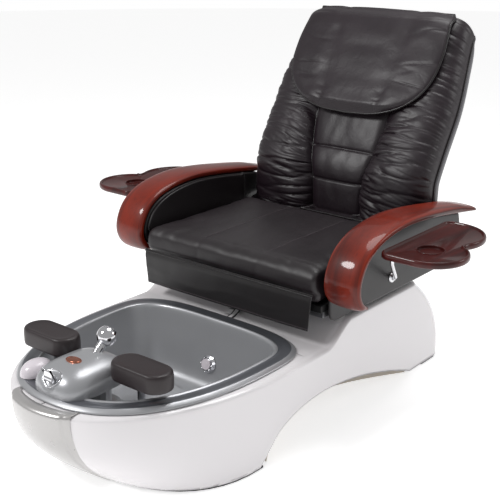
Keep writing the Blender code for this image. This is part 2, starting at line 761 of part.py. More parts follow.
def shower_profile():
    """The ball head with its neck, from the top of the ball down to the flat end of the neck."""
    rise = 0.034
    profile = []
    lowest = math.degrees(math.acos(SHOWER_NECK_RADIUS / SHOWER_HEAD_RADIUS))
    for i in range(11):
        angle = math.radians(90 - (90 + lowest) * i / 10)
        profile.append((max(SHOWER_HEAD_RADIUS * math.cos(angle), 0.0),
                        rise + SHOWER_HEAD_RADIUS * math.sin(angle)))
    return profile + [(SHOWER_NECK_RADIUS, 0.0), (0.0, 0.0)]


def shower_place():
    """Where the holder's axis meets the cover, and its direction, leaning towards the sitter."""
    x, y = SHOWER_PLACE
    return Vector((x, y, console_height(x, y))), Vector((0, math.sin(SHOWER_LEAN), math.cos(SHOWER_LEAN)))


def shower():
    """Hand shower: a holder let into the console, and the ball-shaped head that lifts out of it."""
    foot, along = shower_place()
    rod("shower_holder", foot - along * (SHOWER_SINK - GAP), foot + along * SHOWER_HOLDER_LENGTH,
        SHOWER_NECK_RADIUS, CHROME, sides=28)
    head = turned("shower_head", shower_profile(), foot + along * (SHOWER_HOLDER_LENGTH + GAP), CHROME)
    head.rotation_euler.x = -SHOWER_LEAN


def foot_rests():
    for side, sign in SIDES:
        x, y = sign * POST_PLACE[0], POST_PLACE[1]
        low = BASIN_SHELF + GAP
        turned(f"footrest_post_{side}",
               [(0.0, FOOTREST_BOTTOM - low - GAP), (POST_RADIUS, FOOTREST_BOTTOM - low - GAP),
                (POST_RADIUS, 0.012), (0.014, 0.008), (0.014, 0.0), (0.0, 0.0)],
               (x, y, low), CHROME, steps=20)
        half = FOOTREST_LENGTH / 2 - FOOTREST_WIDTH / 2
        outline = arc((half, 0), FOOTREST_WIDTH / 2, -90, 90, 8)
        outline += arc((-half, 0), FOOTREST_WIDTH / 2, 90, 270, 8)
        x, y = x + sign * FOOTREST_OFFSET[0], y + FOOTREST_OFFSET[1]
        outline = [(x + a, y + b) for a, b in outline]
        plate(f"footrest_pad_{side}", outline, FOOTREST_BOTTOM, FOOTREST_BOTTOM + FOOTREST_THICKNESS,
              BLACK_LEATHER, bevel=0.007)


# ---------------------------------------------------------------- inside the base

def inner_base():
    """Steel floor plate and uprights that carry the pedestal, and the electrics."""
    box("floor_plate", (-0.200, -0.040, 0.0), (0.200, 0.640, 0.005), STEEL)
    top = PEDESTAL_HEIGHT - SHELL_WALL - 2 * GAP
    for side, sign in SIDES:
        inner, outer = sorted((sign * (RAIL_PLACE - 0.004), sign * (RAIL_PLACE + 0.004)))
        box(f"upright_{side}", (inner, 0.200, 0.005 + GAP), (outer, 0.540, top), STEEL)
    box("control_box", (-0.135, 0.330, 0.005 + GAP), (-0.030, 0.520, 0.085), GREY_PLASTIC, bevel=0.004)
    low, high = INLET_BOX
    box("power_inlet", low, high, BLACK_PLASTIC)


def deck_strip():
    """The narrow cover strip over the joint of the two shells, behind the basin."""
    rows = []
    start = BASIN_CENTRE + BASIN_REAR_LENGTH + 0.001
    for y in [start] + [place for place in side_places() if start < place < 0.26]:
        z = deck_height(y) + GAP
        rows.append([(-0.011, y, z + 0.0004), (0.011, y, z + 0.0004),
                     (0.009, y, z + 0.0026), (-0.009, y, z + 0.0026)])
    loft("deck_strip", rows, PALE_PLASTIC)


# ---------------------------------------------------------------- seat

def seat():
    for side, sign in SIDES:
        low, high = sorted((sign * (RAIL_PLACE - RAIL_WIDTH / 2), sign * (RAIL_PLACE + RAIL_WIDTH / 2)))
        box(f"slide_rail_{side}", (low, RAIL_START, RAIL_BOTTOM),
            (high, RAIL_START + RAIL_LENGTH, RAIL_BOTTOM + RAIL_HEIGHT), STEEL)
    half = SEAT_HALF_WIDTH - 0.005
    box("seat_frame", (-half, SEAT_FRONT + 0.050, FRAME_BOTTOM),
        (half, HINGE[0] + 0.020, FRAME_BOTTOM + FRAME_THICKNESS), STEEL)
    box("seat_pan", (-half, SEAT_FRONT + 0.040, PAN_BOTTOM),
        (half, SEAT_REAR - 0.005, PAN_BOTTOM + PAN_THICKNESS), CHERRY_WOOD)
    box("seat_cushion", (-SEAT_HALF_WIDTH, SEAT_FRONT, CUSHION_BOTTOM),
        (SEAT_HALF_WIDTH, SEAT_REAR, CUSHION_BOTTOM + CUSHION_THICKNESS), BLACK_LEATHER,
        bevel=0.030, segments=3)
    half = SEAT_HALF_WIDTH - 0.024
    box("seat_skirt", (-half, SEAT_FRONT + 0.004, SKIRT_BOTTOM),
        (half, SEAT_FRONT + 0.004 + SKIRT_THICKNESS, CUSHION_BOTTOM - GAP), BLACK_LEATHER)


# Outer face of an arm, as (Y, height over the cushion's underside)
ARM_LINE = [(0.085, 0.000), (0.040, 0.024), (0.018, 0.068), (0.024, 0.118), (0.055, 0.168), (0.110, 0.204),
            (0.190, 0.226), (0.290, 0.234), (0.400, 0.227), (0.520, 0.212), (0.620, 0.197), (0.695, 0.184)]


def arm_curve(count, inward=0.0):
    """Side view (Y, Z) of an arm's outer face, from its lower end round the front to its rear tip."""
    outer = curve_through([(y, CUSHION_BOTTOM + rise) for y, rise in ARM_LINE], count)
    if not inward:
        return outer
    moved = []
    for i, (y, z) in enumerate(outer):
        before, after = outer[max(i - 1, 0)], outer[min(i + 1, count - 1)]
        run = Vector((after[0] - before[0], after[1] - before[1])).normalized()
        moved.append((y + run.y * inward, z - run.x * inward))
    return moved


def arms():
    count = 26
    outer = arm_curve(count)
    inner = arm_curve(count, ARM_THICKNESS)
    core = arm_curve(count, ARM_THICKNESS + GAP)
    for side, sign in SIDES:
        rings = []
        for (ya, za), (yb, zb) in zip(outer, inner):
            edge = 0.3
            ym, zm = ya + (yb - ya) * edge, za + (zb - za) * edge
            yn, zn = ya + (yb - ya) * (1 - edge), za + (zb - za) * (1 - edge)
            rings.append([(sign * (ARM_INNER + 0.007), ya, za), (sign * (ARM_OUTER - 0.007), ya, za),
                          (sign * ARM_OUTER, ym, zm), (sign * ARM_OUTER, yn, zn),
                          (sign * (ARM_OUTER - 0.007), yb, zb), (sign * (ARM_INNER + 0.007), yb, zb),
                          (sign * ARM_INNER, yn, zn), (sign * ARM_INNER, ym, zm)])
        loft(f"arm_{side}", rings, CHERRY_WOOD, smooth=60)
        profile = [point for point in core if point[1] > ARM_CORE_BOTTOM + 0.004 and point[0] < 0.66]
        profile = [(profile[0][0], ARM_CORE_BOTTOM)] + profile + [(0.655, ARM_CORE_BOTTOM)]
        low, high = sorted((sign * (SIDE_OUTER + GAP), sign * ARM_CORE_OUTER))
        plate(f"arm_panel_{side}", profile, low, high, BLACK_LEATHER, axis="X")
        inside = [(SIDE_FRONT, SIDE_BOTTOM), (SIDE_FRONT, CUSHION_BOTTOM + 0.078)]
        inside += [(y + 0.004, z - 0.004) for y, z in inner
                   if z > CUSHION_BOTTOM + 0.088 and SIDE_FRONT < y + 0.004 and y < SIDE_REAR - 0.01]
        inside += [(SIDE_REAR, inside[-1][1]), (SIDE_REAR, SIDE_BOTTOM)]
        low, high = sorted((sign * SIDE_INNER, sign * SIDE_OUTER))
        plate(f"seat_side_{side}", inside, low, high, BLACK_LEATHER, axis="X", bevel=0.003)


def tray_outline():
    x, y = TRAY_PIVOT
    return (arc((x, y), 0.030, 180, 270, 5) + arc((x + 0.080, y + 0.075), 0.105, -90, 65, 14)
            + arc((x + 0.025, y + 0.245), 0.120, -34, 90, 12) + arc((x, y + 0.335), 0.030, 90, 180, 5))


def trays():
    """Side trays with a raised rim and a cup recess, each on a bent chrome tube."""
    for side, sign in SIDES:
        outline = [(sign * x, y) for x, y in tray_outline()]
        tray = plate(f"tray_{side}", outline, TRAY_BOTTOM, TRAY_BOTTOM + TRAY_THICKNESS, CHERRY_WOOD)
        edit = bmesh.new()
        edit.from_mesh(tray.data)
        top = max((face for face in edit.faces), key=lambda face: face.calc_center_median().z)
        bmesh.ops.inset_region(edit, faces=[top], thickness=TRAY_RIM)
        bmesh.ops.translate(edit, verts=top.verts, vec=(0, 0, -TRAY_RECESS))
        edit.to_mesh(tray.data)
        edit.free()
        x, y = CUP_PLACE
        cup = rod(f"cup_{side}", (sign * x, y, TRAY_BOTTOM + TRAY_FLOOR), (sign * x, y, TRAY_BOTTOM + 0.05),
                  CUP_RADIUS, CHERRY_WOOD, sides=32)
        cut(tray, make_cutter(cup))
        px, py = TRAY_PIVOT
        low, knee = CUSHION_BOTTOM + 0.064, py + 0.105
        route = curve_through([(ARM_CORE_OUTER + 0.016, knee, low), (px - 0.030, knee - 0.010, low + 0.002),
                               (px - 0.011, py + 0.060, low + 0.016), (px - 0.002, py + 0.020, low + 0.046),
                               (px, py, TRAY_BOTTOM - 0.023), (px, py, TRAY_BOTTOM - GAP)], 11)
        points = [(ARM_CORE_OUTER + GAP, knee, low)] + route[:-2]
        points += [(px, py, TRAY_BOTTOM - 0.015), (px, py, TRAY_BOTTOM - GAP)]
        points = [(sign * x, y, z) for x, y, z in points]
        bent_tube(f"tray_tube_{side}", points, TUBE_RADIUS, CHROME)


# ---------------------------------------------------------------- back rest

# Face of the back rest, as (Y, height over the cushion's underside)
BACK_FACE = [(0.556, 0.090), (0.557, 0.188), (0.567, 0.268), (0.612, 0.356), (0.668, 0.446),
             (0.722, 0.533), (0.780, 0.626), (0.832, 0.706), (0.872, 0.746)]


def back_stations(count):
    """Points and forward normals, as (Y, Z), up the face of the back rest."""
    face = curve_through([(y, CUSHION_BOTTOM + rise) for y, rise in BACK_FACE], count)
    stations = []
    for i, (y, z) in enumerate(face):
        before, after = face[max(i - 1, 0)], face[min(i + 1, count - 1)]
        run = Vector((after[0] - before[0], after[1] - before[1])).normalized()
        stations.append((Vector((y, z)), Vector((-run.y, run.x)), i / (count - 1)))
    return stations


def back_half_width(t, full, top):
    """Half width up the back, drawn in towards the top."""
    return full - (full - top) * smooth_step(t, 0.55, 1.0)


def back_pad():
    rings = []
    for place, normal, t in back_stations(12):
        half = back_half_width(t, PAD_HALF_WIDTH, PAD_TOP_HALF_WIDTH)
        rear = place - normal * PAD_THICKNESS * (1 - 0.25 * smooth_step(t, 0.9, 1.0))
        soft = 0.022
        rings.append([(half, *(place - normal * soft)), (half - soft, *place),
                      (-half + soft, *place), (-half, *(place - normal * soft)),
                      (-half, *rear), (half, *rear)])
    loft("back_pad", rings, BLACK_LEATHER, smooth=60)


def back_shell():
    """The moulded rear shell: a shallow dish behind the pad, open towards it and below."""
    rows = []
    front = PAD_THICKNESS + GAP + 0.001
    for place, normal, t in back_stations(12):
        half = back_half_width(t, BACK_SHELL_HALF_WIDTH, PAD_TOP_HALF_WIDTH + 0.002)
        close = smooth_step(t, 0.82, 1.0)
        rear = front + (BACK_SHELL_REAR - front) * math.sqrt(max(1 - close ** 2, 0.12))
        row = []
        for share in (1, -1):
            side = [(share * half, *(place - normal * front)),
                    (share * half, *(place - normal * (front + (rear - front) * 0.6))),
                    (share * (half - 0.012), *(place - normal * (front + (rear - front) * 0.88))),
                    (share * (half - 0.045), *(place - normal * rear))]
            row += side if share == 1 else side[::-1]
        rows.append(row)
    last, normal, _ = back_stations(12)[-1]
    rows.append([(x * 0.97, *(last - normal * front + Vector((0.004, 0.003)))) for x, _, _ in rows[-1]])
    piece = loft("back_shell", rows, GREY_PLASTIC, closed=False, capped=False, smooth=60)
    edit = bmesh.new()
    edit.from_mesh(piece.data)
    bmesh.ops.remove_doubles(edit, verts=edit.verts, dist=0.00005)
    bmesh.ops.recalc_face_normals(edit, faces=edit.faces)
    middle = min(edit.faces, key=lambda face: abs(face.calc_center_median().x)
                 + abs(face.calc_center_median().z - HINGE[1] - 0.375))
    if middle.normal.y < 0:
        bmesh.ops.reverse_faces(edit, faces=edit.faces)
    edit.to_mesh(piece.data)
    edit.free()
    return add_wall(piece, BACK_SHELL_WALL)


def head_flap():
    """The loose head pad that hangs from the top of the back rest over its face."""
    stations = back_stations(24)[11:]
    rings = []
    for place, normal, t in stations:
        drop = (t - stations[0][2]) / (1 - stations[0][2])
        half = FLAP_HALF_WIDTH * math.sqrt(1 - (1 - min(drop / 0.55, 1.0)) ** 2 * 0.83)
        inner = place + normal * (2 * GAP)
        outer = inner + normal * FLAP_THICKNESS
        rings.append([(half, *inner), (half, *(inner + normal * FLAP_THICKNESS * 0.5)),
                      (half - 0.012, *outer), (-half + 0.012, *outer),
                      (-half, *(inner + normal * FLAP_THICKNESS * 0.5)), (-half, *inner)])
    loft("head_flap", rings, BLACK_LEATHER, smooth=60)


def back_structure():
    """Steel hoop, massage carriage on its guide rods, recline shaft and its bearings."""
    y, z = HINGE
    depth = PAD_THICKNESS + 0.018
    stations = back_stations(15)
    side = [(PAD_HALF_WIDTH - 0.065, *(place - normal * depth)) for place, normal, t in stations
            if 0.12 < t < 0.86]
    hoop = side + [(-x, a, b) for x, a, b in reversed(side)]
    bent_tube("back_hoop", hoop, 0.009, STEEL)
    end = SEAT_HALF_WIDTH + 0.0035
    rod("recline_shaft", (-end, y, z), (end, y, z), PIN_RADIUS, STEEL, sides=48)
    for name, sign in SIDES:
        low, high = sorted((sign * (SEAT_HALF_WIDTH - 0.017), sign * (SEAT_HALF_WIDTH - 0.007)))
        bracket = box(f"hinge_bracket_{name}", (low, y - 0.020, FRAME_BOTTOM + FRAME_THICKNESS + GAP),
                      (high, y + 0.020, z + 0.022), STEEL)
        hole = rod(f"hinge_hole_{name}", (low - 0.01, y, z), (high + 0.01, y, z), PIN_RADIUS + PIN_CLEARANCE,
                   STEEL, sides=48)
        cut(bracket, make_cutter(hole))


def massage_unit():
    low = back_stations(15)[5][0]
    high = back_stations(15)[12][0]
    along = (high - low).normalized()
    normal = Vector((-along.y, along.x))
    depth = PAD_THICKNESS + 0.045
    rod("massage_guide", (0, *(low - normal * depth)), (0, *(high - normal * depth)), 0.008, CHROME,
        sides=16)
    middle = (low + high) / 2 - normal * (depth - 0.014)
    half = Vector((along.x, along.y)) * 0.055
    corners = [middle - half, middle + half, middle + half + normal * 0.006, middle - half + normal * 0.006]
    plate("massage_carriage", [(point.x, point.y) for point in corners], -0.125, 0.125, STEEL, axis="X")
    for name, sign in SIDES:
        centre = middle + normal * (0.006 + GAP)
        rod(f"massage_roller_{name}", (sign * 0.055, *centre), (sign * 0.055, *(centre + normal * 0.014)),
            0.030, BLACK_PLASTIC, sides=20, end_radius=0.018)


def rear_cover():
    """Pale lower cover that closes the foot of the back rest."""
    rows = []
    for place, normal, t in back_stations(12)[1:4]:
        rear = BACK_SHELL_REAR + GAP
        rows.append([(0.290, *(place - normal * rear)), (-0.290, *(place - normal * rear)),
                     (-0.275, *(place - normal * (rear + 0.014))),
                     (0.275, *(place - normal * (rear + 0.014)))])
    loft("back_lower_cover", rows, PALE_PLASTIC)


base()
floor_strip("floor_strip_front", 0, 12)
floor_strip("floor_strip_rear", 29, 35)
nose_panel()
basin()
jet()
drain()
console()
console_lid()
mixer()
shower()
foot_rests()
inner_base()
deck_strip()
seat()
arms()
trays()
back_pad()
back_shell()
head_flap()
back_structure()
massage_unit()
rear_cover()
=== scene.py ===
"""Looks of the pedicure spa chair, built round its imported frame.

Metres, +Z up. The sitter faces -Y, and +X is the sitter's left. Every piece is modelled in place.
"""
import math

import bmesh
import bpy
from mathutils import Matrix, Vector, noise


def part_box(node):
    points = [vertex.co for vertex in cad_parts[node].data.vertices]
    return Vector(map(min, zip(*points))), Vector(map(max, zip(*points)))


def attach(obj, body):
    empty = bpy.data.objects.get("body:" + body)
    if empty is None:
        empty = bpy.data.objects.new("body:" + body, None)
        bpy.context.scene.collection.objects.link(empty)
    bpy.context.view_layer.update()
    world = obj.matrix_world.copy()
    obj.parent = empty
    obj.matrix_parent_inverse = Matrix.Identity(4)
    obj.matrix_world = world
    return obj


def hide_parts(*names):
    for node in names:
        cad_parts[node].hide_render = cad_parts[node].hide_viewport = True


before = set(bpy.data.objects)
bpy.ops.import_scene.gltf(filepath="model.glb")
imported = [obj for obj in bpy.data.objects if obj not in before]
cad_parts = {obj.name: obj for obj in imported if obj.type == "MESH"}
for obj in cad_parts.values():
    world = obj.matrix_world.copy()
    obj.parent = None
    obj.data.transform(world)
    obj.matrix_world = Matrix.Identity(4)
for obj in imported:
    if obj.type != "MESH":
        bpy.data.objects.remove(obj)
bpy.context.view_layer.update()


# ---------------------------------------------------------------- base shells
# Two glossy white gelcoat mouldings, joined along the middle. The bow overhangs, the sides are
# plane, and the rear rolls down from the pedestal. An arch is let into each side at the floor.

def hex_colour(code):
    """A web colour as linear RGBA."""
    parts = [int(code[i:i + 2], 16) / 255 for i in (0, 2, 4)]
    return (*[p / 12.92 if p <= 0.04045 else ((p + 0.055) / 1.055) ** 2.4 for p in parts], 1.0)


def add_node(tree, kind, inputs=None, **settings):
    """Add a shader node; an input is a value or another node's output."""
    node = tree.nodes.new(kind)
    for key, value in settings.items():
        setattr(node, key, value)
    for key, value in (inputs or {}).items():
        if isinstance(value, bpy.types.NodeSocket):
            tree.links.new(value, node.inputs[key])
        else:
            node.inputs[key].default_value = value
    return node


def new_material(name, **values):
    """A Principled material; values are its inputs, with _ for a space."""
    material = bpy.data.materials.new(name)
    material.use_nodes = True
    shader = material.node_tree.nodes["Principled BSDF"]
    for key, value in values.items():
        shader.inputs[key.replace("_", " ")].default_value = value
    return material, material.node_tree, shader


def moulded(name, colour, rough, metallic=0.0, coat=0.0, flake=0.0):
    """Moulded plastic or gelcoat: slight waviness in its gloss, and metallic flake where it has some."""
    material, tree, shader = new_material(name, Metallic=metallic, Coat_Weight=coat, Coat_Roughness=0.05)
    place = add_node(tree, "ShaderNodeTexCoord").outputs["Object"]
    wave = add_node(tree, "ShaderNodeTexNoise", {"Vector": place, "Scale": 14.0, "Detail": 3.0})
    gloss = add_node(tree, "ShaderNodeMapRange", {"Value": wave.outputs["Fac"], "To Min": rough * 0.85,
                                                 "To Max": rough * 1.2})
    tree.links.new(gloss.outputs["Result"], shader.inputs["Roughness"])
    fleck = add_node(tree, "ShaderNodeTexNoise", {"Vector": place, "Scale": 1600.0, "Detail": 1.0})
    tone = add_node(tree, "ShaderNodeMapRange", {"Value": fleck.outputs["Fac"], "To Min": 1.0 - flake,
                                                "To Max": 1.0 + flake})
    paint = add_node(tree, "ShaderNodeMix", {"Factor": 1.0}, data_type="RGBA", blend_type="MULTIPLY")
    paint.inputs[6].default_value = hex_colour(colour)
    tree.links.new(tone.outputs["Result"], paint.inputs[7])
    tree.links.new(paint.outputs[2], shader.inputs["Base Color"])
    orange_peel = add_node(tree, "ShaderNodeBump", {"Height": wave.outputs["Fac"], "Strength": 0.04,
                                                    "Distance": 0.002})
    tree.links.new(orange_peel.outputs["Normal"], shader.inputs["Normal"])
    return material


def new_piece(name, edit, material, body, smooth=45):
    """Turn a bmesh into a piece that rides on a body."""
    mesh = bpy.data.meshes.new(name)
    edit.to_mesh(mesh)
    edit.free()
    mesh.shade_smooth()
    mesh.set_sharp_from_angle(angle=math.radians(smooth))
    mesh.materials.append(material)
    piece = bpy.data.objects.new(name, mesh)
    bpy.context.scene.collection.objects.link(piece)
    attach(piece, body)
    return piece


def skin(rings, closed=True, caps=True, edit=None):
    """A skin over rows of points, added to a bmesh, with its faces turned outwards."""
    edit = edit or bmesh.new()
    rows = [[edit.verts.new(point) for point in ring] for ring in rings]
    faces = []
    for lower, upper in zip(rows, rows[1:]):
        for i in range(len(lower) if closed else len(lower) - 1):
            j = (i + 1) % len(lower)
            faces.append(edit.faces.new((lower[i], lower[j], upper[j], upper[i])))
    if caps:
        faces += [edit.faces.new(rows[0]), edit.faces.new(rows[-1])]
    bmesh.ops.recalc_face_normals(edit, faces=faces)
    return edit


def add_modifier(piece, kind, **settings):
    modifier = piece.modifiers.new(kind.lower(), kind)
    for key, value in settings.items():
        setattr(modifier, key, value)
    return modifier


def smooth_step(value, start, end):
    """0 before start, 1 after end, and an S between them."""
    t = min(max((value - start) / (end - start), 0.0), 1.0)
    return t * t * (3 - 2 * t)


# Polished gelcoat: bright and even, with a long soft reflection; the kick walls are left duller.
GELCOAT = moulded("white_gelcoat", "e3e0e2", 0.16, coat=0.4)
BEIGE = moulded("kick_wall_beige_gelcoat", "b9b0a4", 0.42)

HULL_HALF_WIDTH = 0.371
BOW_TIP, REAR_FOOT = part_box("base_shell_left")[0].y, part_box("base_shell_left")[1].y
BOW_LENGTH = 0.565
DECK, PEDESTAL = 0.250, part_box("base_shell_left")[1].z
REAR_ROLL = 0.560
STRIP = 0.006


def deck_height(y):
    return DECK + (PEDESTAL - DECK) * smooth_step(y, 0.040, 0.170)


def hull_stations():
    """Plan points (floor, shoulder, rear share) round one half, from the bow to the rear middle."""
    stations = []
    for i in range(49):
        angle = math.radians(90 - 90 * i / 48)
        floor = (HULL_HALF_WIDTH * abs(math.cos(angle)) ** (2 / 2.4),
                 -0.250 - 0.310 * abs(math.sin(angle)) ** (2 / 2.4))
        stations.append((floor, (HULL_HALF_WIDTH * math.cos(angle),
                                 BOW_TIP + BOW_LENGTH * (1 - math.sin(angle))), 0.0))
    straight = BOW_TIP + BOW_LENGTH
    for i in range(1, 121):
        y = straight + (REAR_ROLL - 0.050 - straight) * i / 120
        rear = smooth_step(y, 0.250, REAR_ROLL - 0.050)
        lead = -0.090 * (1 - smooth_step(y, straight, 0.040))
        stations.append(((HULL_HALF_WIDTH, y + lead + (REAR_FOOT - REAR_ROLL) * rear),
                         (HULL_HALF_WIDTH, y), rear))
    for i in range(1, 13):
        angle = math.radians(7.5 * i)
        x, reach = HULL_HALF_WIDTH - 0.050 * (1 - math.cos(angle)), 0.050 * math.sin(angle)
        stations.append(((x, REAR_FOOT - 0.050 + reach), (x, REAR_ROLL - 0.050 + reach), 1.0))
    for i in range(1, 11):
        x = 0.321 * (1 - i / 10)
        stations.append(((x, REAR_FOOT), (x, REAR_ROLL), 1.0))
    return stations


def arch_height(y):
    """Height of the arch in the side wall over a place along the base."""
    front, rear, peak, top = -0.228, 0.517, 0.020, 0.124
    if y <= front or y >= rear:
        return STRIP
    if y < peak:
        return STRIP + (top - STRIP) * math.sin(math.acos((peak - y) / (peak - front))) ** 0.9
    return STRIP + (top - STRIP) * (1 - ((y - peak) / (rear - peak)) ** 1.7)


def base_half(side, sign):
    levels = 30
    columns = []
    for (fx, fy), (tx, ty), rear in hull_stations():
        crest = deck_height(ty) - 0.010

        def at(t):
            share = (1 - (1 - min(t, 1.0)) ** 2.2) * (1 - rear) + t ** 2.6 * rear
            return fx + (tx - fx) * share, fy + (ty - fy) * share, crest * t

        low = 0.0
        for k in range(400):
            x, y, z = at(k / 400)
            if z < (arch_height(y) if x > 0.3 else STRIP):
                low = k / 400
        columns.append([at(low + (1 - low) * k / levels) for k in range(levels + 1)])
    rows = [list(row) for row in zip(*columns)]
    top = rows[-1]
    for k in range(1, 9):
        turn = math.radians(90 * k / 8)
        inset, rise = 0.022 * (1 - math.cos(turn)), math.sin(turn)
        row = []
        for i, (x, y, z) in enumerate(top):
            before, after = top[max(i - 1, 0)], top[min(i + 1, len(top) - 1)]
            away = Vector((after[1] - before[1], before[0] - after[0])).normalized()
            if i == 0:
                away = Vector((0, -1))
            row.append((max(x - away.x * inset, 0.0), y - away.y * inset,
                        z + (deck_height(y) - z) * rise))
        rows.append(row)
    shoulder = rows[-1]
    for k in range(1, 9):
        rows.append([(x * (1 - k / 8), y, z) for x, y, z in shoulder])
    rows = [[(sign * max(x, 0.0002), y, z) for x, y, z in row] for row in rows]
    edit = skin(rows, closed=False, caps=False)
    bmesh.ops.remove_doubles(edit, verts=edit.verts, dist=0.00012)
    bmesh.ops.dissolve_degenerate(edit, edges=edit.edges, dist=0.00005)
    bmesh.ops.recalc_face_normals(edit, faces=edit.faces)
    if sum(face.normal.z * face.calc_area() for face in edit.faces) < 0:
        bmesh.ops.reverse_faces(edit, faces=edit.faces)
    inside = [face for face in edit.faces if face.calc_center_median().z > 0.245
              and egg_inside(face.calc_center_median(), 0.022)]
    bmesh.ops.delete(edit, geom=inside, context="FACES")
    piece = new_piece(f"hull_{side}", edit, GELCOAT, "base", smooth=60)
    add_modifier(piece, "SOLIDIFY", thickness=0.006, offset=-1.0)
    add_modifier(piece, "BEVEL", width=0.0016, segments=3, limit_method="ANGLE", angle_limit=math.radians(60))
    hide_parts(f"base_shell_{side}")


BASIN_HALF_WIDTH, BASIN_MIDDLE = 0.342, -0.180
BOW_END = (0.505, 2.3)              # reach forward of the middle, and roundness
REAR_END = (0.215, 3.6)


def egg(angle, inset=0.0):
    """The basin's plan outline, pulled in by inset. Angle 0 is +X, 90 degrees is forward."""
    forward = math.sin(angle) > 0
    length, power = BOW_END if forward else REAR_END
    x = (BASIN_HALF_WIDTH - inset) * math.copysign(abs(math.cos(angle)) ** (2 / power), math.cos(angle))
    reach = (length - inset) * math.copysign(abs(math.sin(angle)) ** (2 / power), math.sin(angle))
    return x, BASIN_MIDDLE - reach


def egg_inside(point, inset):
    """Whether a plan point lies inside the outline pulled in by inset."""
    length, power = BOW_END if point.y < BASIN_MIDDLE else REAR_END
    return (abs(point.x) / (BASIN_HALF_WIDTH - inset)) ** power + (abs(point.y - BASIN_MIDDLE)
                                                                   / (length - inset)) ** power < 1


for side, sign in (("left", 1), ("right", -1)):
    base_half(side, sign)
    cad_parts[f"kick_wall_{side}"].data.materials[0] = BEIGE


# ---------------------------------------------------------------- deck strip
# A white cover strip over the joint of the shells, on a black channel that shows on both sides as painted shade along
# the strip's edges.

# Moulded ABS, plain black; beside the white strip it shows as painted shade lines.
BLACK = moulded("black_plastic", "131314", 0.45)

places = [0.034 + 0.226 * i / 24 for i in range(25)]
# The black channel under the cover strip is painted shade: the dark lines along the strip's edges.
channel = skin([[(-0.011, y, deck_height(y) + 0.0005), (0.011, y, deck_height(y) + 0.0005),
                 (0.011, y, deck_height(y) + 0.0016), (-0.011, y, deck_height(y) + 0.0016)] for y in places])
strip = new_piece("deck_channel_painted_shade", channel, BLACK, "base")
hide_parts("deck_strip")
cover = skin([[(-0.0065, y, deck_height(y) + 0.0016), (0.0065, y, deck_height(y) + 0.0016),
               (0.0055, y, deck_height(y) + 0.0034), (-0.0055, y, deck_height(y) + 0.0034)] for y in places])
new_piece("deck_cover_strip", cover, GELCOAT, "base")


# ---------------------------------------------------------------- basin
# Vacuum-formed metallic silver acrylic: a light outer flange, a flat rim band painted dark as a painted reflection,
# with a bright bead at its inner edge, a deep foot well, and a shelf in front that carries the fittings.

# Metallic acrylic sheet: a broad soft shine over fine flake; a darker copy on the rim band is a painted reflection of
# the dark seat.
SILVER = moulded("silver_acrylic", "aaabae", 0.34, metallic=0.55, coat=0.25, flake=0.06)
SILVER_PAINTED_REFLECTION = moulded("rim_acrylic_painted_reflection_dark", "6c6e74", 0.30, metallic=0.6, coat=0.3, flake=0.06)

RIM = DECK + 0.0053
BASIN_FLOOR, SHELF = 0.058, 0.200


def floor_height(y):
    return BASIN_FLOOR + (SHELF - BASIN_FLOOR) * (1 - smooth_step(y, -0.475, -0.420))


def basin_rows(steps=168):
    flange = [(0.000, RIM - 0.003), (0.0005, RIM - 0.001), (0.004, RIM + 0.002), (0.010, RIM + 0.0062),
              (0.013, RIM + 0.0078), (0.017, RIM + 0.0083), (0.030, RIM + 0.0070), (0.044, RIM + 0.0055),
              (0.0465, RIM + 0.0065), (0.050, RIM + 0.0090), (0.0535, RIM + 0.0088), (0.0565, RIM + 0.0055),
              (0.0585, RIM - 0.001), (0.061, RIM - 0.012), (0.066, RIM - 0.035)]
    rows = [[(*egg(2 * math.pi * (i + 0.5) / steps, inset), z) for i in range(steps)] for inset, z in flange]
    lip = flange[-1][1]
    wall = ((0.067, 0.12), (0.069, 0.28), (0.072, 0.50), (0.075, 0.72), (0.079, 0.86), (0.086, 0.95),
            (0.096, 0.99), (0.110, 1.0), (0.130, 1.0))
    for inset, share in wall:
        row = []
        for i in range(steps):
            angle = 2 * math.pi * (i + 0.5) / steps
            slope = 0.035 * share * smooth_step(egg(angle, inset)[1], -0.475, -0.420)
            x, y = egg(angle, inset + slope)
            row.append((x, y, lip + (min(floor_height(y), lip - 0.004) - lip) * share))
        rows.append(row)
    edge = rows[-1]
    for k in range(1, 14):
        scale = 1 - k / 14
        row = []
        for x, y, _ in edge:
            place = BASIN_MIDDLE + (y - BASIN_MIDDLE) * scale
            tread = 0.010 * math.exp(-((abs(x * scale) - 0.085) / 0.030) ** 2) * smooth_step(place, -0.40,
                                                                                             -0.30)
            row.append((x * scale, place, floor_height(place) + tread * (1 - smooth_step(place, -0.14,
                                                                                         -0.08))))
        rows.append(row)
    return rows


edit = skin(basin_rows(), caps=False)
edit.faces.ensure_lookup_table()
last = [vert for vert in edit.verts if vert.is_boundary and vert.co.z < 0.1]
bmesh.ops.contextual_create(edit, geom=last)
bmesh.ops.recalc_face_normals(edit, faces=edit.faces)
if sum(face.normal.z * face.calc_area() for face in edit.faces) < 0:
    bmesh.ops.reverse_faces(edit, faces=edit.faces)
# The flat rim band takes the darker silver: a painted reflection of the dark seat, not a darker acrylic.
for face in edit.faces:
    centre = face.calc_center_median()
    face.material_index = 1 if centre.z > RIM + 0.004 and egg_inside(centre, 0.0135) \
        and not egg_inside(centre, 0.0455) else 0
basin = new_piece("basin_acrylic", edit, SILVER, "base", smooth=75)
basin.data.materials.append(SILVER_PAINTED_REFLECTION)
add_modifier(basin, "SOLIDIFY", thickness=0.0045, offset=-1.0)
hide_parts("basin")


# ---------------------------------------------------------------- nose panel
# A silver splash guard over the joint at the bow: a broad face with a rolled band down each side,
# turned in at the top as a ledge that meets the basin's rim.

# The same acrylic in a warmer silver.
SILVER_WARM = moulded("nose_acrylic_warm_silver", "b7b5b4", 0.28, metallic=0.55, coat=0.3, flake=0.06)

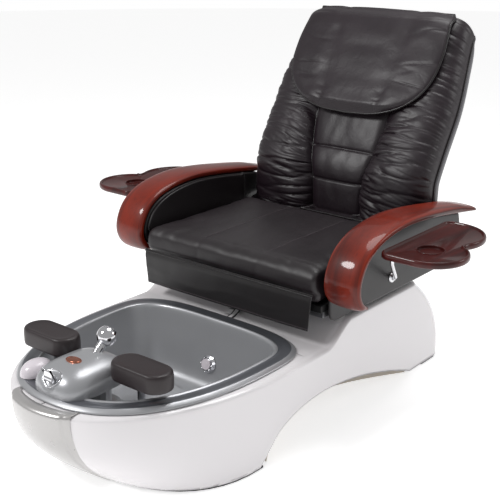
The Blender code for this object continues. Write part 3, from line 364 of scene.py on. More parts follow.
def bow_point(x, t, grow):
    """A point on the bow at half-width x, from the floor (t = 0) to the deck (t = 1)."""
    top = -0.160 - (BOW_LENGTH + grow) * math.sqrt(1 - (x / (HULL_HALF_WIDTH + grow)) ** 2)
    foot = -0.250 - (0.310 + grow) * (1 - abs(x / (HULL_HALF_WIDTH + grow)) ** 2.4) ** (1 / 2.4)
    share = 1 - (1 - min(t, 1.0)) ** 2.2
    return Vector((x, foot + (top - foot) * share, 0.0015 + (DECK - 0.006) * t))


edit_rows = []
across = [-0.115, -0.1145, -0.112, -0.108, -0.104, -0.1015, -0.0995, -0.0975] + [
    -0.095 + 0.190 * i / 38 for i in range(39)] + [0.0975, 0.0995, 0.1015, 0.104, 0.108, 0.112, 0.1145, 0.115]


def nose_rise(x):
    """How far the panel stands off the hull: the side bands step down from the broad face."""
    reach = abs(x)
    band = 0.0042 * math.sin(math.pi * min(max((0.1155 - reach) / 0.018, 0.0), 1.0) ** 0.6 / 2)
    return 0.0008 + band + 0.0035 * (1 - smooth_step(reach, 0.093, 0.0985))


for k in range(41):
    edit_rows.append([bow_point(x, k / 40, nose_rise(x)) for x in across])
for reach, height in ((0.002, 0.0035), (0.006, 0.0070), (0.010, 0.0083), (0.016, 0.0088), (0.024, 0.0086),
                      (0.034, 0.0080)):
    row = []
    for x, point in zip(across, edit_rows[40]):
        edge = BASIN_MIDDLE - BOW_END[0] * (1 - abs(x / BASIN_HALF_WIDTH) ** BOW_END[1]) ** (1 / BOW_END[1])
        row.append(Vector((x, min(point.y + reach, edge - 0.0012), point.z + height)))
    edit_rows.append(row)
edit = skin(edit_rows, closed=False, caps=False)
if sum(face.normal.y * face.calc_area() for face in edit.faces) > 0:
    bmesh.ops.reverse_faces(edit, faces=edit.faces)
nose = new_piece("nose_splash_guard", edit, SILVER_WARM, "base", smooth=60)
add_modifier(nose, "SOLIDIFY", thickness=0.003, offset=-1.0)
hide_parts("nose_panel")


# ---------------------------------------------------------------- water jet, drain, electrics
# Chrome ring with a pale nozzle plate on the rear wall of the well; chrome strainer and plug.

def metal(name, colour, rough, brushed=0.0):
    """Plated or brushed metal, with fine lines of wear in its roughness."""
    material, tree, shader = new_material(name, Metallic=1.0)
    shader.inputs["Base Color"].default_value = hex_colour(colour)
    place = add_node(tree, "ShaderNodeTexCoord").outputs["Object"]
    line = add_node(tree, "ShaderNodeMapping", {"Vector": place, "Scale": (40.0, 900.0, 900.0)})
    scratch = add_node(tree, "ShaderNodeTexNoise", {"Vector": line.outputs["Vector"], "Scale": 1.0})
    gloss = add_node(tree, "ShaderNodeMapRange", {"Value": scratch.outputs["Fac"], "To Min": rough * 0.8,
                                                 "To Max": rough * 1.3})
    tree.links.new(gloss.outputs["Result"], shader.inputs["Roughness"])
    grooves = add_node(tree, "ShaderNodeBump", {"Height": scratch.outputs["Fac"], "Strength": brushed,
                                                "Distance": 0.0001})
    tree.links.new(grooves.outputs["Normal"], shader.inputs["Normal"])
    return material


# Chrome plate mirrors the room; zinc plate is grey and brushed; the plastics are plain.
CHROME = metal("polished_chrome", "dadadd", 0.06)
STEEL = metal("zinc_plated_steel", "8c8c8f", 0.38, brushed=0.3)
PALE = moulded("pale_grey_plastic", "d3ccd2", 0.25, coat=0.2)
DARK_PLASTIC = moulded("duct_grey_plastic", "3a3a3e", 0.5)

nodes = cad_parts
for name in ("jet_ring", "drain_strainer", "drain_plug", "shower_holder", "massage_guide"):
    nodes[name].data.materials[0] = CHROME
nodes["jet_grille"].data.materials[0] = PALE
for name in ("jet_pump", "drain_pipe", "control_box"):
    nodes[name].data.materials[0] = DARK_PLASTIC
for name in ("floor_strip_front", "floor_strip_rear", "power_inlet", "massage_roller_left",
             "massage_roller_right"):
    nodes[name].data.materials[0] = BLACK
for name in ("floor_plate", "seat_frame", "back_hoop", "recline_shaft", "massage_carriage", "upright_left",
             "upright_right", "slide_rail_left", "slide_rail_right", "hinge_bracket_left",
             "hinge_bracket_right"):
    nodes[name].data.materials[0] = STEEL
nodes["back_lower_cover"].data.materials[0] = PALE
nodes["seat_pan"].data.materials[0] = BLACK
nodes["console_foot"].data.materials[0] = SILVER

jet_low, jet_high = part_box("jet_ring")
jet_centre = (jet_low + jet_high) / 2
tilt = math.radians(16)
out = Vector((0, -math.cos(tilt), math.sin(tilt)))
turn = out.to_track_quat("Z", "Y").to_matrix().to_4x4()
edit = bmesh.new()
for k in range(8):
    angle = 2 * math.pi * k / 8
    offset = turn.to_3x3() @ Vector((0.0205 * math.cos(angle), 0.0205 * math.sin(angle), 0.0))
    bmesh.ops.create_uvsphere(edit, u_segments=12, v_segments=8, radius=0.0032,
                              matrix=Matrix.Translation(jet_centre + offset + out * 0.0055))
new_piece("jet_ring_studs", edit, CHROME, "base")
edit = bmesh.new()
for radius, lift in ((0.0135, 0.0092), (0.0085, 0.0100)):
    bmesh.ops.create_cone(edit, cap_ends=True, segments=32, radius1=radius, radius2=radius * 0.93,
                          depth=0.0012,
                          matrix=Matrix.Translation(jet_centre + out * lift) @ turn)
new_piece("jet_nozzle_rings", edit, PALE, "base")


# ---------------------------------------------------------------- console
# A domed silver cover over the taps: an oval recess holds the lever, a generic oval plate and the
# hand shower sit behind it, and a pale rounded valve cover stands beside it.

def tube(name, points, radius, material, body, closed=False):
    """A round bar or a line of piping along points."""
    curve = bpy.data.curves.new(name, "CURVE")
    curve.dimensions = "3D"
    curve.bevel_depth = radius
    curve.bevel_resolution = 3
    curve.use_fill_caps = True
    spline = curve.splines.new("POLY")
    spline.points.add(len(points) - 1)
    spline.use_cyclic_u = closed
    spline.use_smooth = True
    for point, place in zip(spline.points, points):
        point.co = (*place, 1.0)
    curve.materials.append(material)
    piece = bpy.data.objects.new(name, curve)
    bpy.context.scene.collection.objects.link(piece)
    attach(piece, body)
    return piece


def arc(centre, radius, start, end, steps):
    """Points on an arc, with its angles in degrees."""
    angles = [math.radians(start + (end - start) * i / steps) for i in range(steps + 1)]
    return [(centre[0] + radius * math.cos(a), centre[1] + radius * math.sin(a)) for a in angles]


# Brushed copper-coloured plate, left plain.
COPPER = metal("badge_copper", "b0715c", 0.22, brushed=0.2)

CONSOLE_LOW, CONSOLE_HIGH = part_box("console_cover")
DOME_CENTRE = (CONSOLE_LOW.y + CONSOLE_HIGH.y) / 2
DOME_HALF = (CONSOLE_HIGH.y - CONSOLE_LOW.y) / 2
LEVER = (0.0, -0.660, 0.309)
DOME_HALF_WIDTH, DOME_RISE = 0.0905, 0.0675
DOME_CORNER = 0.60                  # squareness in plan
DOME_POWER = 2 / DOME_CORNER
DOME_ROLL = 2.6                     # squareness in section


def dome(x, y):
    """Height of the cover over a plan point."""
    spread = (abs(x / DOME_HALF_WIDTH) ** DOME_POWER
              + abs((y - DOME_CENTRE) / DOME_HALF) ** DOME_POWER) ** (1 / DOME_POWER)
    return CONSOLE_LOW.z + DOME_RISE * max(1 - min(spread, 1.0) ** DOME_ROLL, 0.0) ** (1 / DOME_ROLL)


rings = []
for k in range(33):
    lift = math.radians(90 * k / 32.4)
    spread = math.cos(lift) ** (2 / DOME_ROLL)
    ring = []
    for i in range(96):
        angle = 2 * math.pi * i / 96
        x = DOME_HALF_WIDTH * math.copysign(abs(math.cos(angle)) ** DOME_CORNER, math.cos(angle)) * spread
        y = DOME_CENTRE + DOME_HALF * math.copysign(abs(math.sin(angle)) ** DOME_CORNER,
                                                    math.sin(angle)) * spread
        z = CONSOLE_LOW.z + DOME_RISE * math.sin(lift) ** (2 / DOME_ROLL)
        near = math.hypot((x - LEVER[0]) / 0.030, (y - LEVER[1] - 0.004) / 0.022)
        z -= 0.013 * (1 - smooth_step(near, 0.62, 1.02)) * smooth_step(z, CONSOLE_LOW.z + 0.004,
                                                                       CONSOLE_LOW.z + 0.02)
        ring.append((x, y, z))
    rings.append(ring)
skirt = [(x, y, CONSOLE_LOW.z - 0.006) for x, y, _ in rings[0]]
cover = new_piece("console_dome", skin([skirt] + rings), SILVER, "base", smooth=70)
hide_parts("console_cover")

edit = bmesh.new()
for k in range(40):
    angle = 2 * math.pi * k / 40
    x, y = LEVER[0] + 0.0305 * math.cos(angle), LEVER[1] + 0.008 + 0.0175 * math.sin(angle)
    edit.verts.new((x, y, dome(x, y) + 0.0006))
edit.verts.ensure_lookup_table()
ring_points = [tuple(vert.co) for vert in edit.verts]
edit.free()
tube("lever_recess_ring", ring_points, 0.0014, CHROME, "base", closed=True)

profile = arc((LEVER[1], LEVER[2]), 0.0100, 138, 446, 30)
lever_tip = [(-0.6716, 0.3352), (-0.6728, 0.3368), (-0.6704, 0.3374), (-0.6682, 0.3362)]
edit = bmesh.new()
face = edit.faces.new([edit.verts.new((-0.0155, y, z)) for y, z in profile + lever_tip])
grown = bmesh.ops.extrude_face_region(edit, geom=[face])
bmesh.ops.translate(edit, vec=(0.031, 0, 0), verts=[v for v in grown["geom"]
                                                    if isinstance(v, bmesh.types.BMVert)])
bmesh.ops.recalc_face_normals(edit, faces=edit.faces)
lever = new_piece("tap_lever", edit, CHROME, "tap", smooth=35)
add_modifier(lever, "BEVEL", width=0.0012, segments=3, limit_method="ANGLE", angle_limit=math.radians(50))
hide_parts("mixer_lever")

badge_low, badge_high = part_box("badge_plate")
badge_middle = (badge_low + badge_high) / 2
rings = []
for scale, height in ((1.0, -0.004), (1.0, 0.0006), (0.97, 0.0016), (0.90, 0.0020), (0.87, 0.0012),
                      (0.80, 0.0012),
                      (0.76, 0.0018), (0.50, 0.0024), (0.22, 0.0026)):
    rings.append([(0.0255 * scale * math.cos(a), badge_middle.y + 0.0165 * scale * math.sin(a),
                   badge_high.z - 0.0018 + height)
                  for a in [2 * math.pi * i / 64 for i in range(64)]])
badge = new_piece("badge_plain_oval", skin(rings), COPPER, "base", smooth=30)
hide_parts("badge_plate")

lid_low, lid_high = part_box("console_lid")
lid_middle = (lid_low + lid_high) / 2
rings = []
for k in range(17):
    lift = math.radians(90 * k / 16.3)
    rings.append([(lid_middle.x + 0.037 * math.cos(a) * math.cos(lift) ** 0.8,
                   lid_middle.y + 0.050 * math.sin(a) * math.cos(lift) ** 0.8,
                   lid_low.z + 0.036 * math.sin(lift) - 0.0012 * math.exp(-((lift - 0.42) / 0.05) ** 2))
                  for a in [2 * math.pi * i / 56 for i in range(56)]])
lid = new_piece("valve_cover", skin(rings), PALE, "base", smooth=70)
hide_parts("console_lid")

head_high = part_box("shower_head")[1]
ball = Vector((0.0, head_high.y - 0.028, head_high.z - 0.028))
lean = Matrix.Rotation(math.radians(-45), 4, "X")
profile = [(0.0, -0.0355), (0.0123, -0.0355), (0.0125, -0.030), (0.0128, -0.0262), (0.0150, -0.0246)]
profile += [(0.028 * math.cos(a), 0.028 * math.sin(a))
            for a in [math.radians(-60 + 8 * i) for i in range(14)]]
profile += [(0.0215, 0.0190), (0.0205, 0.0202), (0.0160, 0.0222), (0.0, 0.0232)]
edit = bmesh.new()
line = [edit.verts.new((radius, 0.0, height)) for radius, height in profile]
edges = [edit.edges.new(pair) for pair in zip(line, line[1:])]
bmesh.ops.spin(edit, geom=edges + line, cent=(0, 0, 0), axis=(0, 0, 1), angle=2 * math.pi, steps=56,
               use_merge=True)
bmesh.ops.remove_doubles(edit, verts=edit.verts, dist=0.00002)
bmesh.ops.recalc_face_normals(edit, faces=edit.faces)
bmesh.ops.transform(edit, matrix=Matrix.Translation(ball) @ lean, verts=edit.verts)
head = new_piece("shower_ball", edit, CHROME, "hand_shower", smooth=35)
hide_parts("shower_head")
holes = bmesh.new()
for count, radius in ((1, 0.0), (6, 0.0055), (12, 0.0105)):
    for k in range(count):
        angle = 2 * math.pi * k / count
        bmesh.ops.create_cone(holes, cap_ends=True, segments=10, radius1=0.0009, radius2=0.0006, depth=0.0012,
                              matrix=Matrix.Translation(ball) @ lean @ Matrix.Translation(
                                  (radius * math.cos(angle), radius * math.sin(angle),
                                   0.0234 - radius * 0.09)))
new_piece("shower_nozzles", holes, BLACK, "hand_shower")


# ---------------------------------------------------------------- foot rests
# Integral-skin foam pads on chrome posts: rounded ends, a soft edge, and a slightly dished top.

def leather(name, colour, sheen, rough=0.42, grain=0.0011, soft_crease=0.25):
    """Coated upholstery leather: fine pebble grain in mm-sized cells, faint creases, cloudy sheen."""
    material, tree, shader = new_material(name)
    place = add_node(tree, "ShaderNodeTexCoord").outputs["Object"]
    cloud = add_node(tree, "ShaderNodeTexNoise", {"Vector": place, "Scale": 9.0, "Detail": 4.0})
    tint = add_node(tree, "ShaderNodeMix", {"Factor": cloud.outputs["Fac"]}, data_type="RGBA")
    tint.inputs[6].default_value = hex_colour(colour)
    tint.inputs[7].default_value = hex_colour(sheen)
    tree.links.new(tint.outputs[2], shader.inputs["Base Color"])
    rough_mix = add_node(tree, "ShaderNodeMapRange", {"Value": cloud.outputs["Fac"], "To Min": rough - 0.06,
                                                     "To Max": rough + 0.08})
    tree.links.new(rough_mix.outputs["Result"], shader.inputs["Roughness"])
    cells = add_node(tree, "ShaderNodeTexVoronoi", {"Vector": place, "Scale": 1 / grain},
                     feature="DISTANCE_TO_EDGE")
    pebble = add_node(tree, "ShaderNodeBump", {"Height": cells.outputs["Distance"], "Strength": 0.22,
                                               "Distance": 0.0002})
    fold = add_node(tree, "ShaderNodeTexNoise", {"Vector": place, "Scale": 30.0, "Detail": 3.0,
                                                 "Distortion": 0.8})
    crease = add_node(tree, "ShaderNodeBump", {"Height": fold.outputs["Fac"], "Strength": soft_crease,
                                               "Distance": 0.004, "Normal": pebble.outputs["Normal"]})
    tree.links.new(crease.outputs["Normal"], shader.inputs["Normal"])
    shader.inputs["Specular IOR Level"].default_value = 0.5
    shader.inputs["Sheen Weight"].default_value = 0.03
    shader.inputs["Sheen Roughness"].default_value = 0.4
    shader.inputs["Sheen Tint"].default_value = hex_colour("b7a6b4")
    return material


# Self-skinned polyurethane foam: fine grain and a low even shine.
PAD_SKIN = leather("footrest_foam_skin", "1f1719", "281e20", rough=0.42, grain=0.0005, soft_crease=0.04)

for side, sign in (("left", 1), ("right", -1)):
    low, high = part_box(f"footrest_pad_{side}")
    middle, half = (low + high) / 2, (high - low) / 2
    rings = []
    levels = [(0.0, 0.90), (0.0, 0.96), (0.003, 0.99), (0.010, 1.0), (0.026, 1.0), (0.036, 0.995),
              (0.0425, 0.975),
              (0.0468, 0.94), (0.0492, 0.895), (0.0500, 0.84), (0.0494, 0.78), (0.0482, 0.70), (0.0476, 0.55),
              (0.0474, 0.35), (0.0473, 0.12)]
    levels.insert(0, (0.0012, 0.55))
    straight = half.x - half.y
    for height, scale in levels:
        ring = []
        for i in range(72):
            angle = 2 * math.pi * i / 72
            reach = half.y * scale
            x = math.cos(angle) * reach + math.copysign(straight * min(scale * 1.05, 1.0), math.cos(angle)) \
                * min(abs(math.cos(angle)) * 6, 1.0)
            ring.append((middle.x + x, middle.y + math.sin(angle) * reach, low.z + height))
        rings.append(ring)
    pad = new_piece(f"footrest_cushion_{side}", skin(rings), PAD_SKIN, f"foot_pad_{side}",
                    smooth=80)
    add_modifier(pad, "SUBSURF", levels=1, render_levels=1)
    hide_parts(f"footrest_pad_{side}")
    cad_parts[f"footrest_post_{side}"].data.materials[0] = CHROME
    post_low, post_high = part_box(f"footrest_post_{side}")
    edit = bmesh.new()
    for radius, depth, place in ((0.0165, 0.006, post_low.z + 0.014), (0.0135, 0.004, post_low.z + 0.019),
                                 (0.0150, 0.008, post_high.z - 0.006)):
        bmesh.ops.create_cone(edit, cap_ends=True, segments=40, radius1=radius, radius2=radius, depth=depth,
                              matrix=Matrix.Translation(((post_low.x + post_high.x) / 2,
                                                         (post_low.y + post_high.y) / 2,
                                                         place)))
    collar = new_piece(f"footrest_collars_{side}", edit, CHROME, "base", smooth=30)
    add_modifier(collar, "BEVEL", width=0.001, segments=2, limit_method="ANGLE")


# ---------------------------------------------------------------- seat cushion
# A foam cushion in a sewn leather cover. The foam swells its cover in a short cloth simulation;
# then two lengthwise seams and the seam under the front roll are pressed in.

# Coated upholstery leather: near black with a brown cast, and paler thread.
SEAT_LEATHER = leather("seat_leather_black_brown", "100a0d", "1a1116", rough=0.45, soft_crease=0.12)
STITCH = leather("stitch_thread", "3a3034", "494045", rough=0.6, grain=0.0004, soft_crease=0.0)

SEAT_SEAM = 0.118                   # the lengthwise seams stand this far from the middle


def ripple(place, scale, seed):
    """Smooth noise from -1 to 1, with its own scale along each axis."""
    return noise.noise(Vector((place[0] * scale[0] + seed, place[1] * scale[1], place[2] * scale[2])))


def inflate(piece, voxel, pressure, cap, steps=20):
    """Swell a closed piece as foam swells its cover, no point moving further than cap."""
    scene = bpy.context.scene
    add_modifier(piece, "REMESH", mode="VOXEL", voxel_size=voxel)
    bpy.context.view_layer.update()
    mesh = bpy.data.meshes.new_from_object(piece.evaluated_get(bpy.context.evaluated_depsgraph_get()))
    piece.modifiers.clear()
    piece.data = mesh
    before = [vert.co.copy() for vert in mesh.vertices]
    cloth = add_modifier(piece, "CLOTH")
    cloth.settings.use_pressure = True
    cloth.settings.uniform_pressure_force = pressure
    cloth.settings.effector_weights.gravity = 0.0
    cloth.settings.quality = 4
    cloth.point_cache.frame_end = steps
    for frame_number in range(1, steps + 1):
        scene.frame_set(frame_number)
    mesh = bpy.data.meshes.new_from_object(piece.evaluated_get(bpy.context.evaluated_depsgraph_get()))
    piece.modifiers.clear()
    piece.data = mesh
    scene.frame_set(1)
    for vert, start in zip(mesh.vertices, before):
        move = vert.co - start
        if move.length > cap:
            vert.co = start + move.normalized() * cap
    return piece


low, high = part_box("seat_cushion")
middle = (low + high) / 2
edit = bmesh.new()
size = Vector((high.x - low.x - 0.008, high.y - low.y - 0.014, high.z - low.z - 0.020))
bmesh.ops.create_cube(edit, size=1.0, matrix=Matrix.Translation(middle - Vector((0, 0.000,
                                                                                 0.004))) @ Matrix.Diagonal((*size, 1)))
front_edges = [edge for edge in edit.edges if all(v.co.y < middle.y and v.co.z > middle.z
                                                  for v in edge.verts)]
bmesh.ops.bevel(edit, geom=front_edges, offset=0.030, segments=6, affect="EDGES", profile=0.5, material=-1)
bmesh.ops.bevel(edit, geom=[edge for edge in edit.edges if edge.calc_face_angle(0) > 1.2], offset=0.016,
                segments=3,
                affect="EDGES", profile=0.5, material=-1)
cushion = new_piece("seat_cushion_leather", edit, SEAT_LEATHER, "seat", smooth=80)
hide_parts("seat_cushion")
inflate(cushion, 0.008, 4.0, 0.010)
for vert in cushion.data.vertices:
    x, y, z = vert.co
    top = smooth_step(z, high.z - 0.040, high.z - 0.012)
    front = 1 - smooth_step(y, low.y + 0.020, low.y + 0.060)
    for seam in (-SEAT_SEAM, SEAT_SEAM):
        groove = math.exp(-((x - seam) / 0.0035) ** 2) * max(top, front * smooth_step(z, 0.398, 0.425))
        pull = math.exp(-((x - seam) / 0.030) ** 2) * max(top, front) * 0.5
        vert.co.z -= (0.0030 * groove + 0.0028 * pull) * top
        vert.co.y += (0.0030 * groove + 0.0020 * pull) * front * (1 - top)
    roll = math.exp(-((y - (low.y + 0.062)) / 0.006) ** 2) * top
    vert.co.z -= 0.0016 * roll
    hem = math.exp(-((z - 0.416) / 0.0045) ** 2) * front
    vert.co.y += 0.0040 * hem + 0.018 * front * (1 - smooth_step(z, 0.404, 0.416))
    vert.co.z += 0.0016 * top * ripple((x, y, 0), (9, 5, 1), 3.0) + 0.0012 * top * ripple((x, y, 0),
                                                                                          (24, 11, 1), 8.0)
    vert.co.y += 0.0012 * front * (1 - top) * ripple((x, z, 0), (17, 30, 1), 5.0)
    vert.co.z = min(vert.co.z, high.z + 0.004)
    vert.co.x = min(max(vert.co.x, low.x - 0.004), high.x + 0.004)
    vert.co.y = min(max(vert.co.y, low.y - 0.006), high.y - 0.001)
cushion.data.shade_smooth()
add_modifier(cushion, "SUBSURF", levels=1, render_levels=1)


def surface_height(piece, x, y):
    """Where the vertical line through a plan point meets a piece's top."""
    hit = piece.ray_cast(Vector((x, y, 2.0)), Vector((0, 0, -1)))
    return hit[1].z if hit[0] else high.z


for name, x in (("left", SEAT_SEAM), ("right", -SEAT_SEAM)):
    line = [(x, low.y + 0.055 + (high.y - low.y - 0.085) * i / 60) for i in range(61)]
    tube(f"seat_seam_{name}", [(a, b, surface_height(cushion, a, b) - 0.0001) for a, b in line], 0.0007,
         STITCH,
         "seat")


# ---------------------------------------------------------------- seat skirt
# A leather apron sewn under the cushion's front roll: it hangs free, a little fuller at its hem.

# Smoother panel leather, and glossier leather drawn tight over piping cord.
PANEL_LEATHER = leather("panel_leather_black", "0d090b", "140f11", rough=0.42, soft_crease=0.08)
PIPING_LEATHER = leather("piping_leather", "0f0b0c", "171214", rough=0.34, grain=0.0006, soft_crease=0.05)

low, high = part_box("seat_skirt")
SKIRT_TOP = 0.414
rows = []
for k in range(25):
    t = k / 24
    z = SKIRT_TOP - (SKIRT_TOP - low.z) * t
    row = []
    for i in range(91):
        x = (low.x + 0.001 + (high.x - low.x - 0.002) * i / 90) * (1 + 0.035 * (1 - t))
        sway = 0.0022 * ripple((x, 0, z), (6, 1, 7), 1.5) * t + 0.0006 * ripple((x, 0, z), (20, 1, 11), 6.0)
        fold = 0.0008 * math.exp(-((z - 0.345 - 0.03 * ripple((x, 0, 0), (4, 1, 1), 2)) / 0.010) ** 2)
        row.append((x, low.y + 0.0015 + sway - fold - 0.0015 * t + 0.004 * (1 - smooth_step(t, 0.0, 0.22)),
                    z))
    rows.append(row)
skirt = new_piece("seat_skirt_leather", skin(rows, closed=False, caps=False), PANEL_LEATHER, "seat",
                  smooth=80)
add_modifier(skirt, "SOLIDIFY", thickness=0.0022, offset=0.0)
add_modifier(skirt, "BEVEL", width=0.0006, segments=2, limit_method="ANGLE", angle_limit=math.radians(60))
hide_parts("seat_skirt")
hem = [(x, y - 0.0014, z + 0.006) for x, y, z in rows[-1]]
hem_piece = tube("seat_skirt_hem", hem, 0.0008, STITCH, "seat")
tube("seat_front_piping", [(x, y - 0.0022, z - 0.0015) for x, y, z in rows[1]], 0.0022, PIPING_LEATHER,
     "seat")


# ---------------------------------------------------------------- arms
# Bent cherry-veneered arms under gloss lacquer: a broad band that is thick at its crown, with softly
# rounded edges, a scalloped lower end and a rear tip that spreads like a bill.

def lacquered_wood(name, dark, light, across=26.0, along=2.2):
    """Cherry wood under gloss lacquer: long streaks of grain and fine pores; UV is in metres."""
    material, tree, shader = new_material(name)
    place = add_node(tree, "ShaderNodeTexCoord").outputs["UV"]
    stretch = add_node(tree, "ShaderNodeMapping", {"Vector": place, "Scale": (along, across, 1.0)})
    streak = add_node(tree, "ShaderNodeTexNoise", {"Vector": stretch.outputs["Vector"], "Scale": 1.0,
                                                   "Detail": 6.0, "Roughness": 0.55, "Distortion": 0.5})
    ramp = add_node(tree, "ShaderNodeValToRGB", {"Fac": streak.outputs["Fac"]})
    ramp.color_ramp.elements[0].position = 0.30
    ramp.color_ramp.elements[0].color = hex_colour(dark)
    ramp.color_ramp.elements[1].position = 0.72
    ramp.color_ramp.elements[1].color = hex_colour(light)
    pore_map = add_node(tree, "ShaderNodeMapping", {"Vector": place, "Scale": (60.0, 900.0, 1.0)})
    pores = add_node(tree, "ShaderNodeTexNoise", {"Vector": pore_map.outputs["Vector"], "Scale": 1.0,
                                                  "Detail": 2.0})
    pore_dark = add_node(tree, "ShaderNodeMapRange", {"Value": pores.outputs["Fac"], "From Min": 0.30,
                                                      "From Max": 0.48, "To Min": 0.72, "To Max": 1.0})
    shade = add_node(tree, "ShaderNodeMix", {"Factor": 1.0}, data_type="RGBA", blend_type="MULTIPLY")
    tree.links.new(ramp.outputs["Color"], shade.inputs[6])
    tree.links.new(pore_dark.outputs["Result"], shade.inputs[7])
    tree.links.new(shade.outputs[2], shader.inputs["Base Color"])
    shader.inputs["Roughness"].default_value = 0.45
    shader.inputs["Specular IOR Level"].default_value = 0.2
    shader.inputs["Coat Weight"].default_value = 0.45
    shader.inputs["Coat Roughness"].default_value = 0.07
    return material


def curve_through(points, count):
    """Points at even steps on a smooth curve through the given points."""
    dense = []
    padded = [points[0], *points, points[-1]]
    for p0, p1, p2, p3 in zip(padded, padded[1:], padded[2:], padded[3:]):
        for k in range(24):
            t = k / 24
            dense.append(tuple(0.5 * (2 * b + (c - a) * t + (2 * a - 5 * b + 4 * c - d) * t * t
                                      + (3 * b - a - 3 * c + d) * t ** 3)
                               for a, b, c, d in zip(p0, p1, p2, p3)))
    dense.append(points[-1])
    lengths = [0.0]
    for a, b in zip(dense, dense[1:]):
        lengths.append(lengths[-1] + math.dist(a, b))
    result, j = [], 0
    for i in range(count):
        want = lengths[-1] * i / (count - 1)
        while j < len(dense) - 2 and lengths[j + 1] < want:
            j += 1
        part = (want - lengths[j]) / max(lengths[j + 1] - lengths[j], 1e-9)
        result.append(tuple(a + (b - a) * part for a, b in zip(dense[j], dense[j + 1])))
    return result


# Red cherry under gloss lacquer: dark streaks beneath a clear hard shine.
CHERRY = lacquered_wood("cherry_lacquered", "3c0802", "8c2406")

ARM_LINE = [(0.085, 0.372), (0.040, 0.396), (0.018, 0.440), (0.024, 0.490), (0.055, 0.540), (0.110, 0.576),
            (0.190, 0.598), (0.290, 0.606), (0.400, 0.599), (0.520, 0.584), (0.620, 0.569), (0.695, 0.556)]


def arm_section(width, depth):
    """Half-round edged section as (across, depth) points, a little fuller along its crown."""
    points = []
    for i in range(40):
        angle = 2 * math.pi * i / 40
        x = math.copysign(abs(math.cos(angle)) ** 0.45, math.cos(angle)) * width / 2
        d = math.copysign(abs(math.sin(angle)) ** 0.62, math.sin(angle)) * depth / 2
        crown = 0.0045 * (1 - (2 * x / width) ** 2) if d > 0 else 0.0
        points.append((x, d + crown - 0.0030))
    return points


def arm(side, sign):
    count = 150
    line = curve_through(ARM_LINE, count)
    centre = 0.420
    rings, lengths, travelled = [], [], 0.0
    for i, (y, z) in enumerate(line):
        before, after = line[max(i - 1, 0)], line[min(i + 1, count - 1)]
        run = Vector((0, after[0] - before[0], after[1] - before[1])).normalized()
        normal = Vector((0, run.z, -run.y))
        if i:
            travelled += math.dist(line[i - 1], line[i])
        share = i / (count - 1)
        width = 0.119 - 0.010 * (1 - smooth_step(share, 0.0, 0.05)) - 0.014 * smooth_step(share, 0.55, 0.90) \
            + 0.014 * smooth_step(share, 0.90, 1.0)
        depth = 0.0225 * (0.55 + 0.45 * smooth_step(share, 0.0, 0.04)) * (1 - 0.45 * smooth_step(share,
                                                                                                 0.90, 1.0))
        ring = []
        for x, d in arm_section(width, depth):
            scallop = 0.010 * (0.5 + 0.5 * math.cos(x / 0.0596 * 2.2 * math.pi)) * (1 - smooth_step(share,
                                                                                                    0.0, 0.05))
            place = Vector((0, y, z)) + normal * (0.0120 - d) + run * scallop
            ring.append((sign * (centre + x), place.y, place.z))
        rings.append(ring)
        lengths.append(travelled)
    edit = skin(rings, caps=False)
    uv = edit.loops.layers.uv.new("grain")
    edit.verts.ensure_lookup_table()
    edit.verts.index_update()
    for face in edit.faces:
        wrap = any(loop.vert.index % 40 == 39 for loop in face.loops) and any(loop.vert.index % 40 == 0
                                                                              for loop in face.loops)
        for loop in face.loops:
            ring, around = divmod(loop.vert.index, 40)
            if wrap and around == 0:
                around = 40
            loop[uv].uv = (lengths[ring] + 0.3 * sign, 0.119 * abs(around - 20) / 20 * 1.2)
    for end in (0, count - 1):
        ring_verts = [vert for vert in edit.verts if vert.index // 40 == end]
        cap = edit.faces.new(ring_verts)
        bmesh.ops.inset_region(edit, faces=[cap], thickness=0.004, depth=0.0022)
    bmesh.ops.recalc_face_normals(edit, faces=edit.faces)
    piece = new_piece(f"arm_cherry_{side}", edit, CHERRY, "seat", smooth=70)
    add_modifier(piece, "SUBSURF", levels=1, render_levels=1)
    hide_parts(f"arm_{side}")
    return line


def inner_line(line, inward):
    """The arm's line moved to its concave side."""
    moved = []
    for i, (y, z) in enumerate(line):
        before, after = line[max(i - 1, 0)], line[min(i + 1, len(line) - 1)]
        run = Vector((after[0] - before[0], after[1] - before[1])).normalized()
        moved.append((y + run.y * inward, z - run.x * inward))
    return moved


def cushioned_plate(name, outline, x_low, x_high, puff, material):
    """An upholstered panel: a (Y, Z) outline whose two faces swell between piped edges."""
    centre = Vector((sum(y for y, _ in outline) / len(outline), sum(z for _, z in outline) / len(outline)))
    half = (x_high - x_low) / 2
    rings = []
    for face_sign in (-1, 1):
        stages = [(1.0, 0.72), (0.985, 0.93), (0.96, 1.0), (0.90, 1.0 + puff * 0.35),
                  (0.78, 1.0 + puff * 0.7),
                  (0.55, 1.0 + puff * 0.92), (0.28, 1.0 + puff), (0.05, 1.0 + puff)]
        if face_sign == -1:
            stages = stages[::-1]
        for scale, lift in stages:
            rings.append([((x_low + x_high) / 2 + face_sign * half * min(lift,
                                                                         1.0) + face_sign * max(lift - 1,
                                                                                                0) * half,
                           centre.x + (y - centre.x) * scale, centre.y + (z - centre.y) * scale)
                          for y, z in outline])
    piece = new_piece(name, skin(rings), material, "seat", smooth=60)
    add_modifier(piece, "SUBSURF", levels=1, render_levels=1)
    return piece


